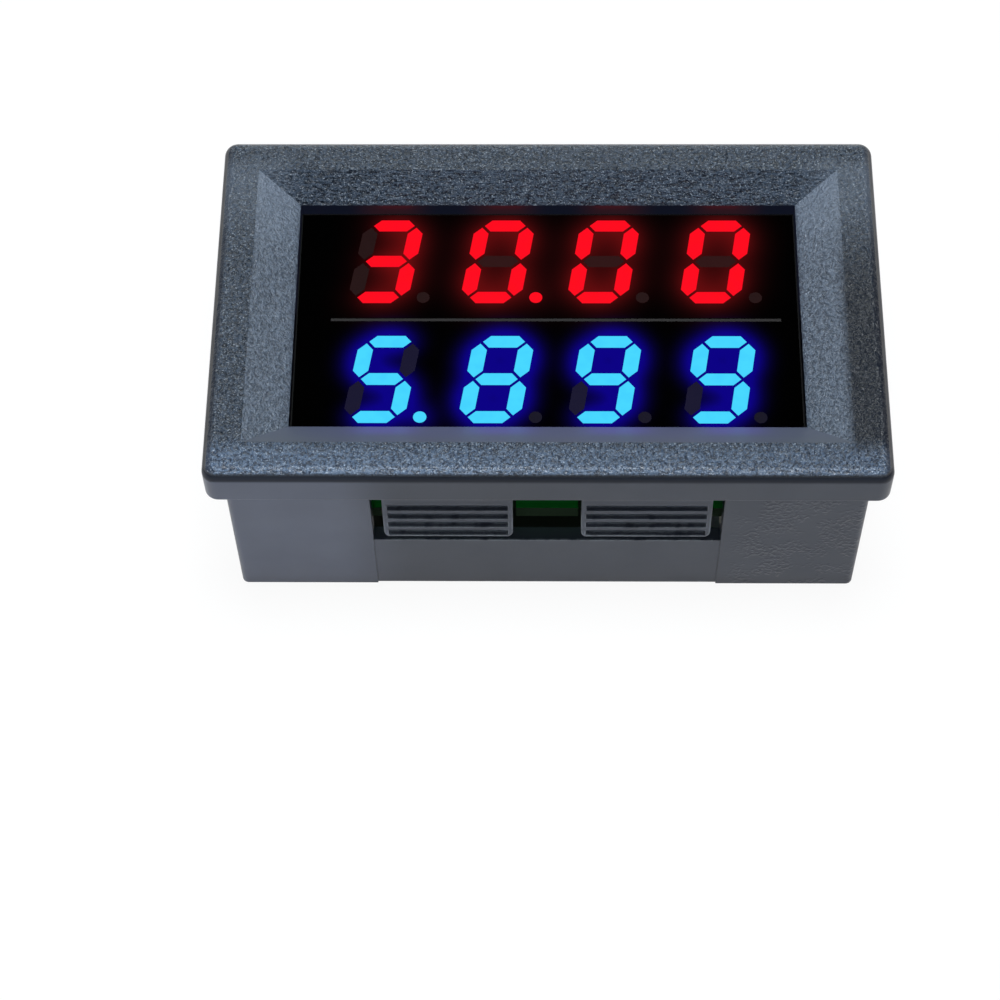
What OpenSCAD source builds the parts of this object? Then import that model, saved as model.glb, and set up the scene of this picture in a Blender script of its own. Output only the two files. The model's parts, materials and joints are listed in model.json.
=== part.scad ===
// Snap-in digital panel meter: a one-piece moulded housing with a bevelled window, a two-row
// seven-segment display behind the window and a circuit board in the open sleeve.
// Millimetres. The origin is the centre of the sleeve's rear rim, +Z points out of the display,
// +Y points to the top of the digits and +X to their right.

/* [Bezel] */
// Width of the bezel
bezel_w = 48; // [47:0.5:60]
// Height of the bezel
bezel_h = 29; // [28.5:0.5:40]
// Thickness of the bezel in front of the panel
bezel_t = 3.2; // [3:0.1:5]
// Radius of the bezel's front edges
bezel_edge_r = 0.9; // [0.3:0.1:1.2]
// How much larger the radius of the bezel's outline corners is
bezel_corner_more = 0.1; // [0.1:0.1:1]

/* [Window] */
// Width of the straight-walled window
aperture_w = 36.4; // [34:0.1:37.4]
// Height of the straight-walled window
aperture_h = 19.1; // [18.4:0.1:19.6]
// Width of the bevel left and right of the window
bevel_w = 3.1; // [1:0.1:3.5]
// Width of the bevel above and below the window
bevel_h = 2.15; // [1:0.05:2.5]
// Depth of the bevel
bevel_t = 1.5; // [0.8:0.1:1.8]
// Depth of the straight wall between the bevel and the display
lip_t = 1.1; // [0.8:0.1:1.4]

/* [Sleeve] */
// Depth of the sleeve behind the bezel
sleeve_d = 14.6; // [14.2:0.2:20]
// Distance that the bezel stands out past the sleeve on each side
bezel_overhang = 1.2; // [0.8:0.1:1.4]
// Thickness of the sleeve's walls
wall_t = 1.2; // [1:0.1:1.3]
// Radius of the sleeve's corners
sleeve_corner_r = 0.5; // [0.2:0.1:1]
// Width of the window in each long side of the sleeve
side_window_w = 25.2; // [24.6:0.1:27]
// Height of the rear edge of the side window above the rear rim
side_window_z = 6.45; // [6:0.05:7.5]
// Depth of the shallow step in the wall behind each side window
shutoff_step = 0.12; // [0.05:0.01:0.3]

/* [Snap tongues] */
// Width of each tongue
tongue_w = 9.3; // [7:0.1:9.6]
// Gap between the two tongues of one side
tongue_spacing = 4.9; // [4.5:0.1:5.4]
// Thickness of each tongue
tongue_t = 1.0; // [0.9:0.1:1.1]
// Gap between the free end of a tongue and the side window's rear edge
tongue_end_gap = 1.05; // [0.4:0.05:1.2]
// Straight length of each tongue behind the bezel, where the panel lies
tongue_root = 2.3; // [2.1:0.1:2.5]
// Distance that the free end stands out past the sleeve
tongue_splay = 0.25; // [0.1:0.05:0.5]
// Radius of the free end's corners
tongue_corner_r = 0.8; // [0.3:0.1:1.5]
// Number of saw-tooth grooves across each tongue
groove_count = 4; // [2:1:4]
// Distance from one groove to the next
groove_pitch = 1.08; // [0.9:0.02:1.12]
// Height of each groove's ramp
groove_h = 0.72; // [0.5:0.02:0.8]
// Depth of the grooves
groove_depth = 0.34; // [0.1:0.02:0.45]
// Plain border beside the grooves
groove_border = 0.35; // [0.2:0.05:1]
// Distance from the bezel to the first groove
groove_start = 2.8; // [2.5:0.1:2.9]

/* [Display] */
// Distance that the display reaches behind the window's lip on each side
display_overlap = 0.6; // [0.3:0.1:0.7]
// Thickness of the display block
display_t = 5.3; // [4.8:0.1:5.6]
// Height of the feet that hold the display off the board
display_foot_h = 0.8; // [0.75:0.05:1]
// Radius of the display's feet
display_foot_r = 0.7; // [0.5:0.1:0.9]
// Wall left around the display's rear recess
display_wall_t = 0.9; // [0.6:0.1:1.1]
// Thickness of the display's carrier board
carrier_t = 1.0; // [0.8:0.1:1.4]
// Distance between the digits of a pair
digit_pitch = 8.2; // [7.8:0.05:8.25]
// Distance between the two middle digits
pair_pitch = 7.75; // [7.7:0.05:8]
// Distance between the two rows of digits
row_pitch = 10.2; // [9.2:0.1:10.2]
// Shift of all digits to the right of the window's centre
digits_shift_x = 0.25; // [-0.2:0.05:0.4]
// Shift of all digits above the window's centre
digits_shift_y = 0.2; // [-0.2:0.05:0.3]
// Distance between the centre lines of a digit's left and right segments
digit_w = 3.33; // [3:0.01:3.4]
// Distance between the centre lines of a digit's top and bottom segments
digit_h = 6.36; // [5.6:0.02:6.4]
// Slant of the digits in degrees
digit_slant = 9; // [0:0.5:10]
// Thickness of the level segments
level_segment_t = 1.0; // [0.7:0.05:1.05]
// Thickness of the upright segments
upright_segment_t = 1.1; // [0.7:0.05:1.15]
// Gap from the end of a segment to the corner of its centre lines
segment_gap = 0.15; // [0.1:0.01:0.3]
// Radius of the decimal point
point_r = 0.475; // [0.3:0.025:0.5]
// Distance of the decimal point to the right of the digit's centre
point_x = 2.78; // [2.75:0.01:2.85]
// Distance of the seam's middle to the right of the digits' centre
seam_shift_x = 0.35; // [0:0.05:0.5]
// Width of the seam between the two rows
seam_w = 0.3; // [0.1:0.05:0.4]
// Length of the seam
seam_l = 32.6; // [20:0.2:34]
// Depth of the seam
seam_depth = 0.1; // [0.05:0.01:0.3]

/* [Display pins] */
// Number of pins in each row
pin_count = 8; // [4:1:8]
// Distance between neighbouring pins
pin_pitch = 2.0; // [1.8:0.1:2.1]
// Distance between the two rows of pins
pin_row_spacing = 17.8; // [17:0.1:17.8]
// Radius of the pins
pin_r = 0.25; // [0.2:0.05:0.3]
// Length of the pin that stands out behind the board
pin_tail = 1.1; // [0.9:0.1:1.5]

/* [Circuit board] */
// Thickness of the board
board_t = 1.2; // [1:0.1:1.6]
// Gap between the board and the sleeve's inner walls
board_clearance = 0.1; // [0.05:0.05:0.3]
// Depth of the board's notches behind the tongues
board_notch_d = 0.7; // [0.4:0.1:1]
// Space beside each tongue in the board's notches
board_notch_space = 0.2; // [0.1:0.05:0.3]
// Gap between a lead and the wall of its hole
hole_clearance = 0.15; // [0.1:0.05:0.25]

/* [Board seats and hooks] */
// Thickness of the ribs that seat the board and centre the display
seat_t = 1.0; // [0.8:0.1:1.5]
// Gap between these ribs and the display
seat_clearance = 0.1; // [0.05:0.05:0.3]
// Distance of the end ribs from the display's corners
seat_inset = 0.9; // [0.8:0.1:1.2]
// Distance that the hooks reach under the board
hook_reach = 0.55; // [0.4:0.05:0.7]
// Length of each hook along the wall
hook_l = 3; // [2:0.5:4]
// Height of each hook's ramp
hook_h = 1.4; // [1:0.1:2]
// Gap between the hooks and the board
hook_clearance = 0.05; // [0.02:0.01:0.1]
// Distance of the hooks from the middle of the end walls
hook_y = 2.4; // [2.2:0.1:3]

/* [Supply socket] */
// Distance between the supply socket's pins
supply_pitch = 2.5; // [2:0.1:2.54]
// Outer depth of the supply socket
supply_socket_d = 5.75; // [5.5:0.05:6]
// Plain length of the supply socket past its outer pins
supply_socket_end = 2.45; // [2.2:0.05:2.6]
// Height of the supply socket
supply_socket_h = 7.0; // [6:0.1:7]
// Thickness of the supply socket's walls
supply_socket_wall = 0.7; // [0.5:0.05:0.9]
// Thickness of the supply socket's floor
supply_socket_floor = 1.3; // [1:0.1:2]
// Width of the supply socket's slots
supply_slot_w = 1.2; // [0.8:0.1:1.4]
// Side of the supply socket's square pins
supply_pin_w = 0.64; // [0.5:0.02:0.7]
// Distance of the supply socket's pins below its mouth
supply_pin_drop = 0.8; // [0.5:0.1:2]
// Distance of the supply socket from the board's left edge
supply_socket_inset = 5.3; // [5:0.1:5.5]
// Distance of the supply socket from the board's near edge
supply_socket_rise = 6.8; // [6.2:0.1:7]

/* [Current socket] */
// Distance between the current socket's pins
current_pitch = 3.96; // [3.9:0.02:4.2]
// Outer depth of the current socket
current_socket_d = 8.5; // [7.5:0.1:8.7]
// Plain length of the current socket past its pins
current_socket_end = 1.95; // [1.7:0.05:2.2]
// Distance of the current socket's wall from the rear rim
current_socket_setback = 0.3; // [0.2:0.1:1.5]
// Thickness of the current socket's base
current_socket_base = 2.2; // [1.6:0.1:2.6]
// Thickness of the current socket's lock wall
current_lock_t = 1.5; // [1:0.1:1.8]
// Distance that the lock wall's lip reaches towards the pins
current_lock_lip = 0.5; // [0.3:0.05:0.7]
// Width of the slits in the lock wall
current_slit_w = 0.7; // [0.5:0.1:1]
// Side of the current socket's square pins
current_pin_w = 1.14; // [0.9:0.02:1.2]
// Shift of the current socket's pins away from the lock wall
current_pin_shift = 0.6; // [0.4:0.1:0.8]
// Distance of the current socket's pins below its lock wall
current_pin_drop = 0.8; // [0.5:0.1:2]
// Distance of the current socket from the board's right edge
current_socket_inset = 5.9; // [5.6:0.1:6]
// Distance of the current socket from the board's near edge
current_socket_rise = 6.6; // [6.2:0.1:7]

/* [Shunt] */
// Radius of the shunt wire
shunt_r = 0.7; // [0.5:0.05:0.75]
// Distance between the shunt's legs
shunt_span = 9; // [7:0.5:9]
// Height of the shunt's centre line off the board
shunt_rise = 2.6; // [2.2:0.1:3]
// Bend radius of the shunt's centre line
shunt_bend_r = 1.5; // [1.2:0.1:2]
// Gap between the shunt and the current socket
shunt_gap = 2.25; // [2:0.05:2.6]
// Distance of the shunt's middle above the current socket's
shunt_shift = 2.8; // [2.6:0.1:3]

/* [Solder] */
// Height of the solder joints
solder_h = 0.6; // [0.4:0.05:0.65]
// Width of the solder joints past the lead
solder_reach = 0.5; // [0.3:0.05:0.5]

/* [Trimmers] */
// Side of the trimmers' square bodies
trimmer_w = 4.5; // [4.2:0.1:4.6]
// Height of the trimmers' bodies
trimmer_h = 2.2; // [2:0.1:3]
// Radius of the trimmers' rotors
rotor_r = 1.5; // [1.2:0.05:1.7]
// Running clearance around the rotors
rotor_clearance = 0.06; // [0.03:0.01:0.1]
// Depth of the rotor's recess
rotor_recess = 0.9; // [0.7:0.05:1.1]
// Distance that a rotor stands out of its recess
rotor_proud = 0.15; // [0.05:0.05:0.4]
// Radius of the spigot that each rotor turns on
spigot_r = 0.5; // [0.4:0.05:0.7]
// Length of the spigot
spigot_l = 0.7; // [0.5:0.1:0.9]
// Width of the rotor's screwdriver cross
slot_w = 0.45; // [0.3:0.05:0.6]
// Length of the rotor's screwdriver cross
slot_l = 2.2; // [1.6:0.1:2.3]
// Depth of the rotor's screwdriver cross
slot_depth = 0.45; // [0.3:0.05:0.6]
// Distance of the outer trimmer from the board's right edge
trimmer_inset = 3.9; // [3.8:0.1:4]
// Distance between the trimmers
trimmer_pitch = 5.4; // [5.3:0.1:5.5]
// Distance of the trimmers from the board's far edge
trimmer_drop = 3.8; // [3.6:0.1:4]

/* [Chips] */
// Thickness of the chips' leads
lead_t = 0.2; // [0.15:0.01:0.25]
// Height of the chips' undersides off the board
chip_standoff = 0.1; // [0.05:0.01:0.15]
// Slope of the chips' long sides
chip_draft = 0.12; // [0.05:0.01:0.2]
// Length of the microcontroller's body
microcontroller_l = 6.5; // [6.4:0.1:6.8]
// Width of the microcontroller's body
microcontroller_w = 4.4; // [4.2:0.1:4.5]
// Height of the microcontroller's body
microcontroller_h = 1.0; // [0.8:0.05:1.2]
// Number of leads on each side of the microcontroller
microcontroller_lead_count = 10; // [8:1:10]
// Distance between the microcontroller's leads
microcontroller_pitch = 0.65; // [0.6:0.01:0.65]
// Width of the microcontroller's leads
microcontroller_lead_w = 0.25; // [0.2:0.01:0.3]
// Distance that the microcontroller's leads reach past its body
microcontroller_reach = 1.0; // [0.9:0.05:1.1]
// Length of the display driver's body
driver_l = 9.9; // [9.7:0.1:10]
// Width of the display driver's and op-amp's bodies
driver_w = 3.9; // [3.8:0.1:4]
// Height of the display driver's and op-amp's bodies
driver_h = 1.45; // [1.2:0.05:1.7]
// Number of leads on each side of the display driver
driver_lead_count = 8; // [7:1:8]
// Distance between the display driver's and op-amp's leads
driver_pitch = 1.27; // [1.2:0.01:1.27]
// Width of the display driver's and op-amp's leads
driver_lead_w = 0.42; // [0.35:0.01:0.5]
// Distance that the display driver's and op-amp's leads reach past their bodies
driver_reach = 1.1; // [1:0.05:1.15]
// Length of the op-amp's body
op_amp_l = 4.9; // [4.8:0.1:5]
// Number of leads on each side of the op-amp
op_amp_lead_count = 4; // [3:1:4]

/* [Small parts] */
// Length of the voltage regulator's body
regulator_l = 4.5; // [4.4:0.1:4.6]
// Width of the voltage regulator's body
regulator_w = 2.5; // [2.3:0.1:2.6]
// Height of the voltage regulator's body
regulator_h = 1.5; // [1.4:0.1:1.6]
// Distance of the voltage regulator and the diode from the board's left edge
regulator_inset = 4.6; // [4.5:0.1:4.7]
// Length of the diode's body
diode_l = 4.3; // [4:0.1:4.6]
// Width of the diode's body
diode_w = 2.6; // [2.4:0.1:2.9]
// Height of the diode's body
diode_h = 2.1; // [1.9:0.1:2.4]
// Radius of the filter capacitor's can
can_r = 2.0; // [1.8:0.1:2.1]
// Height of the filter capacitor
can_h = 5.4; // [4.5:0.1:5.6]
// Height of the filter capacitor's base
can_base_h = 0.9; // [0.7:0.1:1.2]
// Distance of the filter capacitor from the board's far edge
can_drop = 3.8; // [3.6:0.1:4]
// Length of the chip resistors and capacitors
chip_l = 1.6; // [1.4:0.05:1.7]
// Width of the chip resistors and capacitors
chip_w = 0.8; // [0.6:0.05:0.9]
// Height of the chip resistors
resistor_h = 0.45; // [0.35:0.05:0.6]
// Height of the chip capacitors
capacitor_h = 0.8; // [0.6:0.05:0.9]
// Length of the metal ends of the chip resistors and capacitors
chip_end_l = 0.3; // [0.2:0.05:0.4]
// Gap between neighbouring chip resistors or capacitors in a column
chip_gap = 0.6; // [0.5:0.05:0.7]

/* [Hidden] */
$fn = 48;

// How far a cutter runs past the face that it cuts
cut = 1;

// Heights of the stacked pieces above the rear rim
front_z = sleeve_d + bezel_t;
bevel_z = front_z - bevel_t;
face_z = bevel_z - lip_t;
display_z = face_z - display_t;
board_front_z = display_z - display_foot_h;
board_rear_z = board_front_z - board_t;

// Bezel, sleeve and what lies inside it
bezel_corner_r = bezel_edge_r + bezel_corner_more;
sleeve_w = bezel_w - 2 * bezel_overhang;
sleeve_h = bezel_h - 2 * bezel_overhang;
cavity_w = sleeve_w - 2 * wall_t;
cavity_h = sleeve_h - 2 * wall_t;
display_w = aperture_w + 2 * display_overlap;
display_h = aperture_h + 2 * display_overlap;
board_w = cavity_w - 2 * board_clearance;
board_h = cavity_h - 2 * board_clearance;
carrier_w = display_w - 2 * display_wall_t;
carrier_h = display_h - 2 * display_wall_t;
tongue_end_z = side_window_z + tongue_end_gap;
tongue_x = (tongue_spacing + tongue_w) / 2;

// Ribs that seat the board and centre the display
end_rib = (cavity_w - display_w) / 2 - seat_clearance;
side_rib = (cavity_h - display_h) / 2 - seat_clearance;
end_rib_y = display_h / 2 - seat_inset;
side_rib_x = (side_window_w + display_w) / 4;

// Bent metal tabs of the small parts
terminal_t = 0.2;
terminal_w = 0.8;
terminal_reach = 0.35;

// Dimple that marks a chip's first lead
dimple_r = 0.3;
dimple_depth = 0.1;

// Sockets, shunt and trimmers, which are placed from the board's edges
supply_socket_l = 2 * supply_pitch + 2 * supply_socket_end;
supply_x = supply_socket_inset - board_w / 2;
supply_y = supply_socket_rise - board_h / 2;
current_x = board_w / 2 - current_socket_inset;
current_y = current_socket_rise - board_h / 2;
current_socket_h = board_rear_z - current_socket_setback;
shunt_x = current_x - current_socket_d / 2 - shunt_gap - shunt_r;
shunt_y = current_y + shunt_shift;
trimmer_y = board_h / 2 - trimmer_drop;
current_trimmer_x = board_w / 2 - trimmer_inset;
voltage_trimmer_x = current_trimmer_x - trimmer_pitch;

// Columns between the supply socket and the shunt: resistors, driver, resistors, capacitors
columns_low = supply_x + supply_socket_d / 2;
columns_high = shunt_x - shunt_r;
column_gap = (columns_high - columns_low - 2 * chip_w - driver_l - chip_l) / 5;
first_column_x = columns_low + column_gap + chip_w / 2;
field_low = first_column_x + chip_w / 2 + column_gap;
field_high = columns_high - column_gap;
driver_x = field_low + driver_l / 2;
resistor_column_x = field_low + driver_l + column_gap + chip_l / 2;
capacitor_column_x = field_high - chip_w / 2;

// Rows between the display's pins: chips, driver, microcontroller, chips
pin_pad_r = pin_r + solder_reach;
driver_half = driver_w / 2 + driver_reach;
microcontroller_half = microcontroller_w / 2 + microcontroller_reach;
rows_high = pin_row_spacing / 2 - pin_pad_r;
row_gap = (2 * (rows_high - chip_w - driver_half - microcontroller_half)) / 5;
low_row_y = -rows_high + row_gap + chip_w / 2;
driver_y = low_row_y + chip_w / 2 + row_gap + driver_half;
microcontroller_y = driver_y + driver_half + row_gap + microcontroller_half;
high_row_y = rows_high - row_gap - chip_w / 2;
microcontroller_x = field_low + microcontroller_l / 2;
op_amp_x = field_high - op_amp_l / 2;
middle_column_x = (microcontroller_x + microcontroller_l / 2 + op_amp_x - op_amp_l / 2) / 2;

// Diode and regulator above the supply socket, and the filter capacitor beside them
regulator_x = regulator_inset - board_w / 2;
regulator_low = regulator_w / 2 + 2 * terminal_reach;
regulator_high = (regulator_w + terminal_reach) / 2;
supply_top = supply_y + supply_socket_l / 2;
stack_gap = (board_h / 2 - supply_top - diode_w - regulator_low - regulator_high) / 3;
diode_y = supply_top + stack_gap + diode_w / 2;
regulator_y = diode_y + diode_w / 2 + stack_gap + regulator_low;
pins_low_x = -(pin_count - 1) / 2 * pin_pitch - pin_pad_r;
can_x = (regulator_x + regulator_l / 2 + pins_low_x) / 2;
can_y = board_h / 2 - can_drop;

// Chip resistors and capacitors, each with X, Y and its turn
row_slots = 6;
first_column_slots = 5;
first_column_low = supply_y - supply_socket_l / 2;
first_column_pitch = (can_y - can_r - terminal_reach - first_column_low) / first_column_slots;
trimmer_gap_x = (field_high + voltage_trimmer_x - trimmer_w / 2) / 2;
high_row_low = can_x + can_r + column_gap;
function slot_x(i, low) = low + chip_l / 2 + i * (field_high - low - chip_l) / (row_slots - 1);
resistor_places = [
    for (i = [0 : first_column_slots - 1])
        [first_column_x, first_column_low + chip_l / 2 + i * first_column_pitch, 90],
    for (i = [-1.5 : 1.5])
        [resistor_column_x, driver_y + i * (chip_w + chip_gap), 0],
    for (i = [2 : row_slots - 1])
        [slot_x(i, field_low), low_row_y, 0],
    for (i = [1 : row_slots - 3])
        [slot_x(i, high_row_low), high_row_y, 0]
];
capacitor_places = [
    for (side = [-1, 1])
        [capacitor_column_x, driver_y + side * (chip_l + chip_gap) / 2, 90],
    for (side = [-1, 1])
        [middle_column_x, microcontroller_y + side * (chip_l + chip_gap) / 2, 90],
    for (i = [0, 1])
        [slot_x(i, field_low), low_row_y, 0],
    for (i = [0, row_slots - 2])
        [slot_x(i, high_row_low), high_row_y, 0],
    [trimmer_gap_x, high_row_y + (chip_w - chip_l) / 2, 90]
];

function digit_x(place) =
    digits_shift_x + (place < 2
        ? -pair_pitch / 2 - (1 - place) * digit_pitch
        : pair_pitch / 2 + (place - 2) * digit_pitch);
function row_y(row) = digits_shift_y + (row == 0 ? row_pitch / 2 : -row_pitch / 2);
function slanted(points) = [for (p = points) [p[0] + p[1] * tan(digit_slant), p[1]]];
function level_segment(y) =
    let (end = digit_w / 2 - segment_gap, side = level_segment_t / 2)
    slanted([
        [-end, y], [side - end, y + side], [end - side, y + side],
        [end, y], [end - side, y - side], [side - end, y - side]
    ]);
function upright_segment(x, low, high) =
    let (side = upright_segment_t / 2, base = low + segment_gap, top = high - segment_gap)
    slanted([
        [x, base], [x + side, base + side], [x + side, top - side],
        [x, top], [x - side, top - side], [x - side, base + side]
    ]);
// The seven segments in the usual order from a to g
segments = [
    level_segment(digit_h / 2),
    upright_segment(digit_w / 2, 0, digit_h / 2),
    upright_segment(digit_w / 2, -digit_h / 2, 0),
    level_segment(-digit_h / 2),
    upright_segment(-digit_w / 2, -digit_h / 2, 0),
    upright_segment(-digit_w / 2, 0, digit_h / 2),
    level_segment(0)
];
pin_places = [
    for (row = [-1, 1])
        for (i = [0 : pin_count - 1])
            [(i - (pin_count - 1) / 2) * pin_pitch, row * pin_row_spacing / 2]
];
supply_pin_places = [for (i = [-1 : 1]) [supply_x, supply_y + i * supply_pitch]];
current_pin_places = [
    for (side = [-1, 1]) [current_x + current_pin_shift, current_y + side * current_pitch / 2]
];
shunt_places = [for (side = [-1, 1]) [shunt_x, shunt_y + side * shunt_span / 2]];

// ---- Shared shapes ----

// A block that is centred in X and Y and stands on Z = 0
module block(w, d, h) {
    translate([-w / 2, -d / 2, 0]) cube([w, d, h]);
}

// A rectangle with four round corners
module rounded_rectangle(w, h, r) {
    square([w - 2 * r, h], center = true);
    square([w, h - 2 * r], center = true);
    for (x = [-1, 1], y = [-1, 1])
        translate([x * (w / 2 - r), y * (h / 2 - r)]) circle(r);
}

// Puts a child that stands on Z = 0 on the board's rear face, pointing backwards
module on_rear(x, y, turn = 0) {
    translate([x, y, board_rear_z]) mirror([0, 0, 1]) rotate([0, 0, turn]) children();
}

// Extrudes a profile of Y and Z along X
module along_x(length) {
    rotate([90, 0, 90]) linear_extrude(length, center = true) children();
}

// Extrudes a profile of X and Z along Y
module along_y(length) {
    rotate([90, 0, 0]) linear_extrude(length, center = true) children();
}

// ---- Housing ----

// Section of the bezel across one of its widths, with round front edges
module bezel_section(w) {
    translate([-w / 2, sleeve_d]) square([w, bezel_t - bezel_edge_r]);
    translate([bezel_edge_r - w / 2, sleeve_d]) square([w - 2 * bezel_edge_r, bezel_t]);
    for (side = [-1, 1])
        translate([side * (w / 2 - bezel_edge_r), front_z - bezel_edge_r]) circle(bezel_edge_r);
}

module bezel_corner() {
    rotate_extrude() intersection() {
        bezel_section(2 * bezel_corner_r);
        translate([0, sleeve_d]) square([bezel_corner_r, bezel_t]);
    }
}

module bezel_block() {
    inner_w = bezel_w - 2 * bezel_corner_r;
    inner_h = bezel_h - 2 * bezel_corner_r;
    along_x(inner_w) bezel_section(bezel_h);
    along_y(inner_h) bezel_section(bezel_w);
    for (x = [-1, 1], y = [-1, 1])
        translate([x * inner_w / 2, y * inner_h / 2, 0]) bezel_corner();
}

// Section of the bevel's cutter, which widens from the window to the bezel's front
module bevel_section(w, side) {
    past = cut * side / bevel_t;
    polygon([
        [-w / 2, bevel_z], [w / 2, bevel_z],
        [w / 2 + side + past, front_z + cut], [-w / 2 - side - past, front_z + cut]
    ]);
}

module bevel_cutter() {
    intersection() {
        along_x(bezel_w) bevel_section(aperture_h, bevel_h);
        along_y(bezel_h) bevel_section(aperture_w, bevel_w);
    }
}

// One tongue on the near long side, with its middle at x
module tongue(x) {
    root_z = sleeve_d + bezel_t / 4;
    outer_y = -sleeve_h / 2;
    end_chamfer = tongue_t / 6;
    groove_w = tongue_w - 2 * groove_border;
    bend_z = sleeve_d - tongue_root;
    lean = tongue_splay / (bend_z - tongue_end_z);
    difference() {
        intersection() {
            translate([x, 0, 0]) along_x(tongue_w) polygon([
                [outer_y, root_z], [outer_y, bend_z],
                [outer_y - tongue_splay, tongue_end_z + end_chamfer],
                [outer_y - tongue_splay + end_chamfer, tongue_end_z],
                [outer_y - tongue_splay + tongue_t - end_chamfer, tongue_end_z],
                [outer_y - tongue_splay + tongue_t, tongue_end_z + end_chamfer],
                [outer_y + tongue_t, bend_z], [outer_y + tongue_t, root_z]
            ]);
            translate([x, 0, 0]) along_y(bezel_h + cut) union() {
                translate([-tongue_w / 2, tongue_end_z + tongue_corner_r])
                    square([tongue_w, root_z - tongue_end_z]);
                translate([tongue_corner_r - tongue_w / 2, tongue_end_z])
                    square([tongue_w - 2 * tongue_corner_r, root_z - tongue_end_z]);
                for (side = [-1, 1])
                    translate([
                        side * (tongue_w / 2 - tongue_corner_r), tongue_end_z + tongue_corner_r
                    ]) circle(tongue_corner_r);
            }
        }
        for (i = [0 : groove_count - 1]) {
            top_z = sleeve_d - groove_start - i * groove_pitch;
            shelf_z = top_z - groove_h;
            top_y = outer_y - lean * (bend_z - top_z);
            shelf_y = outer_y - lean * (bend_z - shelf_z);
            translate([x, 0, 0]) along_x(groove_w) polygon([
                [top_y, top_z], [shelf_y + groove_depth, shelf_z],
                [shelf_y - cut, shelf_z], [top_y - cut, top_z]
            ]);
        }
    }
}

// A rib in the cavity that seats the board and centres the display
module seat(x, y, w, d) {
    translate([x, y, board_front_z]) block(w, d, face_z - board_front_z + bevel_t / 4);
}

// A wedge on an end wall that the board snaps behind
module hook(y) {
    top_z = board_rear_z - hook_clearance;
    translate([0, y, 0]) along_y(hook_l) polygon([
        [cavity_w / 2 + wall_t / 2, top_z], [cavity_w / 2 - hook_reach, top_z],
        [cavity_w / 2 - hook_reach, top_z - hook_h / 4], [cavity_w / 2, top_z - hook_h],
        [cavity_w / 2 + wall_t / 2, top_z - hook_h]
    ]);
}

module housing() {
    color("#3b434e") {
        difference() {
            union() {
                bezel_block();
                linear_extrude(sleeve_d + bezel_t / 4)
                    rounded_rectangle(sleeve_w, sleeve_h, sleeve_corner_r);
            }
            translate([0, 0, -cut]) block(cavity_w, cavity_h, face_z + cut);
            block(aperture_w, aperture_h, front_z);
            bevel_cutter();
            translate([0, 0, side_window_z])
                block(side_window_w, bezel_h, sleeve_d - side_window_z);
            for (side = [-1, 1])
                translate([0, side * sleeve_h / 2, -cut])
                    block(side_window_w, 2 * shutoff_step, side_window_z + cut);
        }
        for (far = [0, 1], side = [-1, 1])
            mirror([0, far, 0]) tongue(side * tongue_x);
        for (x = [-1, 1], y = [-1, 1]) {
            seat(x * (cavity_w - end_rib) / 2, y * end_rib_y, end_rib, seat_t);
            seat(x * side_rib_x, y * (cavity_h - side_rib) / 2, seat_t, side_rib);
        }
        for (end = [0, 1], side = [-1, 1])
            mirror([end, 0, 0]) hook(side * hook_y);
    }
}

// ---- Display ----

// All segments and the point of one digit, from the carrier to a given height
module digit_solids(place, row, top_z) {
    low_z = display_z + carrier_t;
    translate([digit_x(place), row_y(row), low_z]) {
        for (outline = segments)
            linear_extrude(top_z - low_z) polygon(outline);
        translate([point_x, -digit_h / 2, 0]) cylinder(h = top_z - low_z, r = point_r);
    }
}

module display_shell() {
    color("#0b0b0d") difference() {
        union() {
            translate([0, 0, display_z]) block(display_w, display_h, display_t);
            for (x = [-1, 1], y = [-1, 1])
                translate([
                    x * (display_w / 2 - display_foot_r), y * (display_h / 2 - display_foot_r),
                    board_front_z
                ]) cylinder(h = display_foot_h + carrier_t, r = display_foot_r);
        }
        translate([0, 0, display_z - display_foot_h])
            block(carrier_w, carrier_h, display_foot_h + carrier_t);
        for (place = [0 : 3], row = [0, 1])
            digit_solids(place, row, face_z + cut);
        translate([digits_shift_x + seam_shift_x, digits_shift_y, face_z - seam_depth])
            block(seam_l, seam_w, cut);
    }
}

module voltage_digit(place) {
    color("#ff0020") digit_solids(place, 0, face_z);
}

module current_digit(place) {
    color("#45d7ff") digit_solids(place, 1, face_z);
}

module voltage_digit_1() { voltage_digit(0); }
module voltage_digit_2() { voltage_digit(1); }
module voltage_digit_3() { voltage_digit(2); }
module voltage_digit_4() { voltage_digit(3); }
module current_digit_1() { current_digit(0); }
module current_digit_2() { current_digit(1); }
module current_digit_3() { current_digit(2); }
module current_digit_4() { current_digit(3); }

module display_carrier() {
    color("#1d2620") difference() {
        translate([0, 0, display_z])
            block(carrier_w, carrier_h, carrier_t);
        for (at = pin_places)
            translate([at[0], at[1], display_z - cut]) cylinder(h = carrier_t + 2 * cut, r = pin_r);
        for (x = [-1, 1], y = [-1, 1])
            translate([
                x * (display_w / 2 - display_foot_r), y * (display_h / 2 - display_foot_r),
                display_z - cut
            ]) cylinder(h = carrier_t + 2 * cut, r = display_foot_r);
    }
}

module display_pins() {
    low_z = board_rear_z - pin_tail;
    color("#c9ccd0")
        for (at = pin_places)
            translate([at[0], at[1], low_z])
                cylinder(h = display_z + carrier_t - low_z, r = pin_r);
}

// A solder cone with a round lead through it, standing on Z = 0
module round_joint(lead_r) {
    rotate_extrude() polygon([
        [lead_r, 0], [lead_r + solder_reach, 0],
        [lead_r + solder_reach / 3, solder_h], [lead_r, solder_h]
    ]);
}

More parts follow.
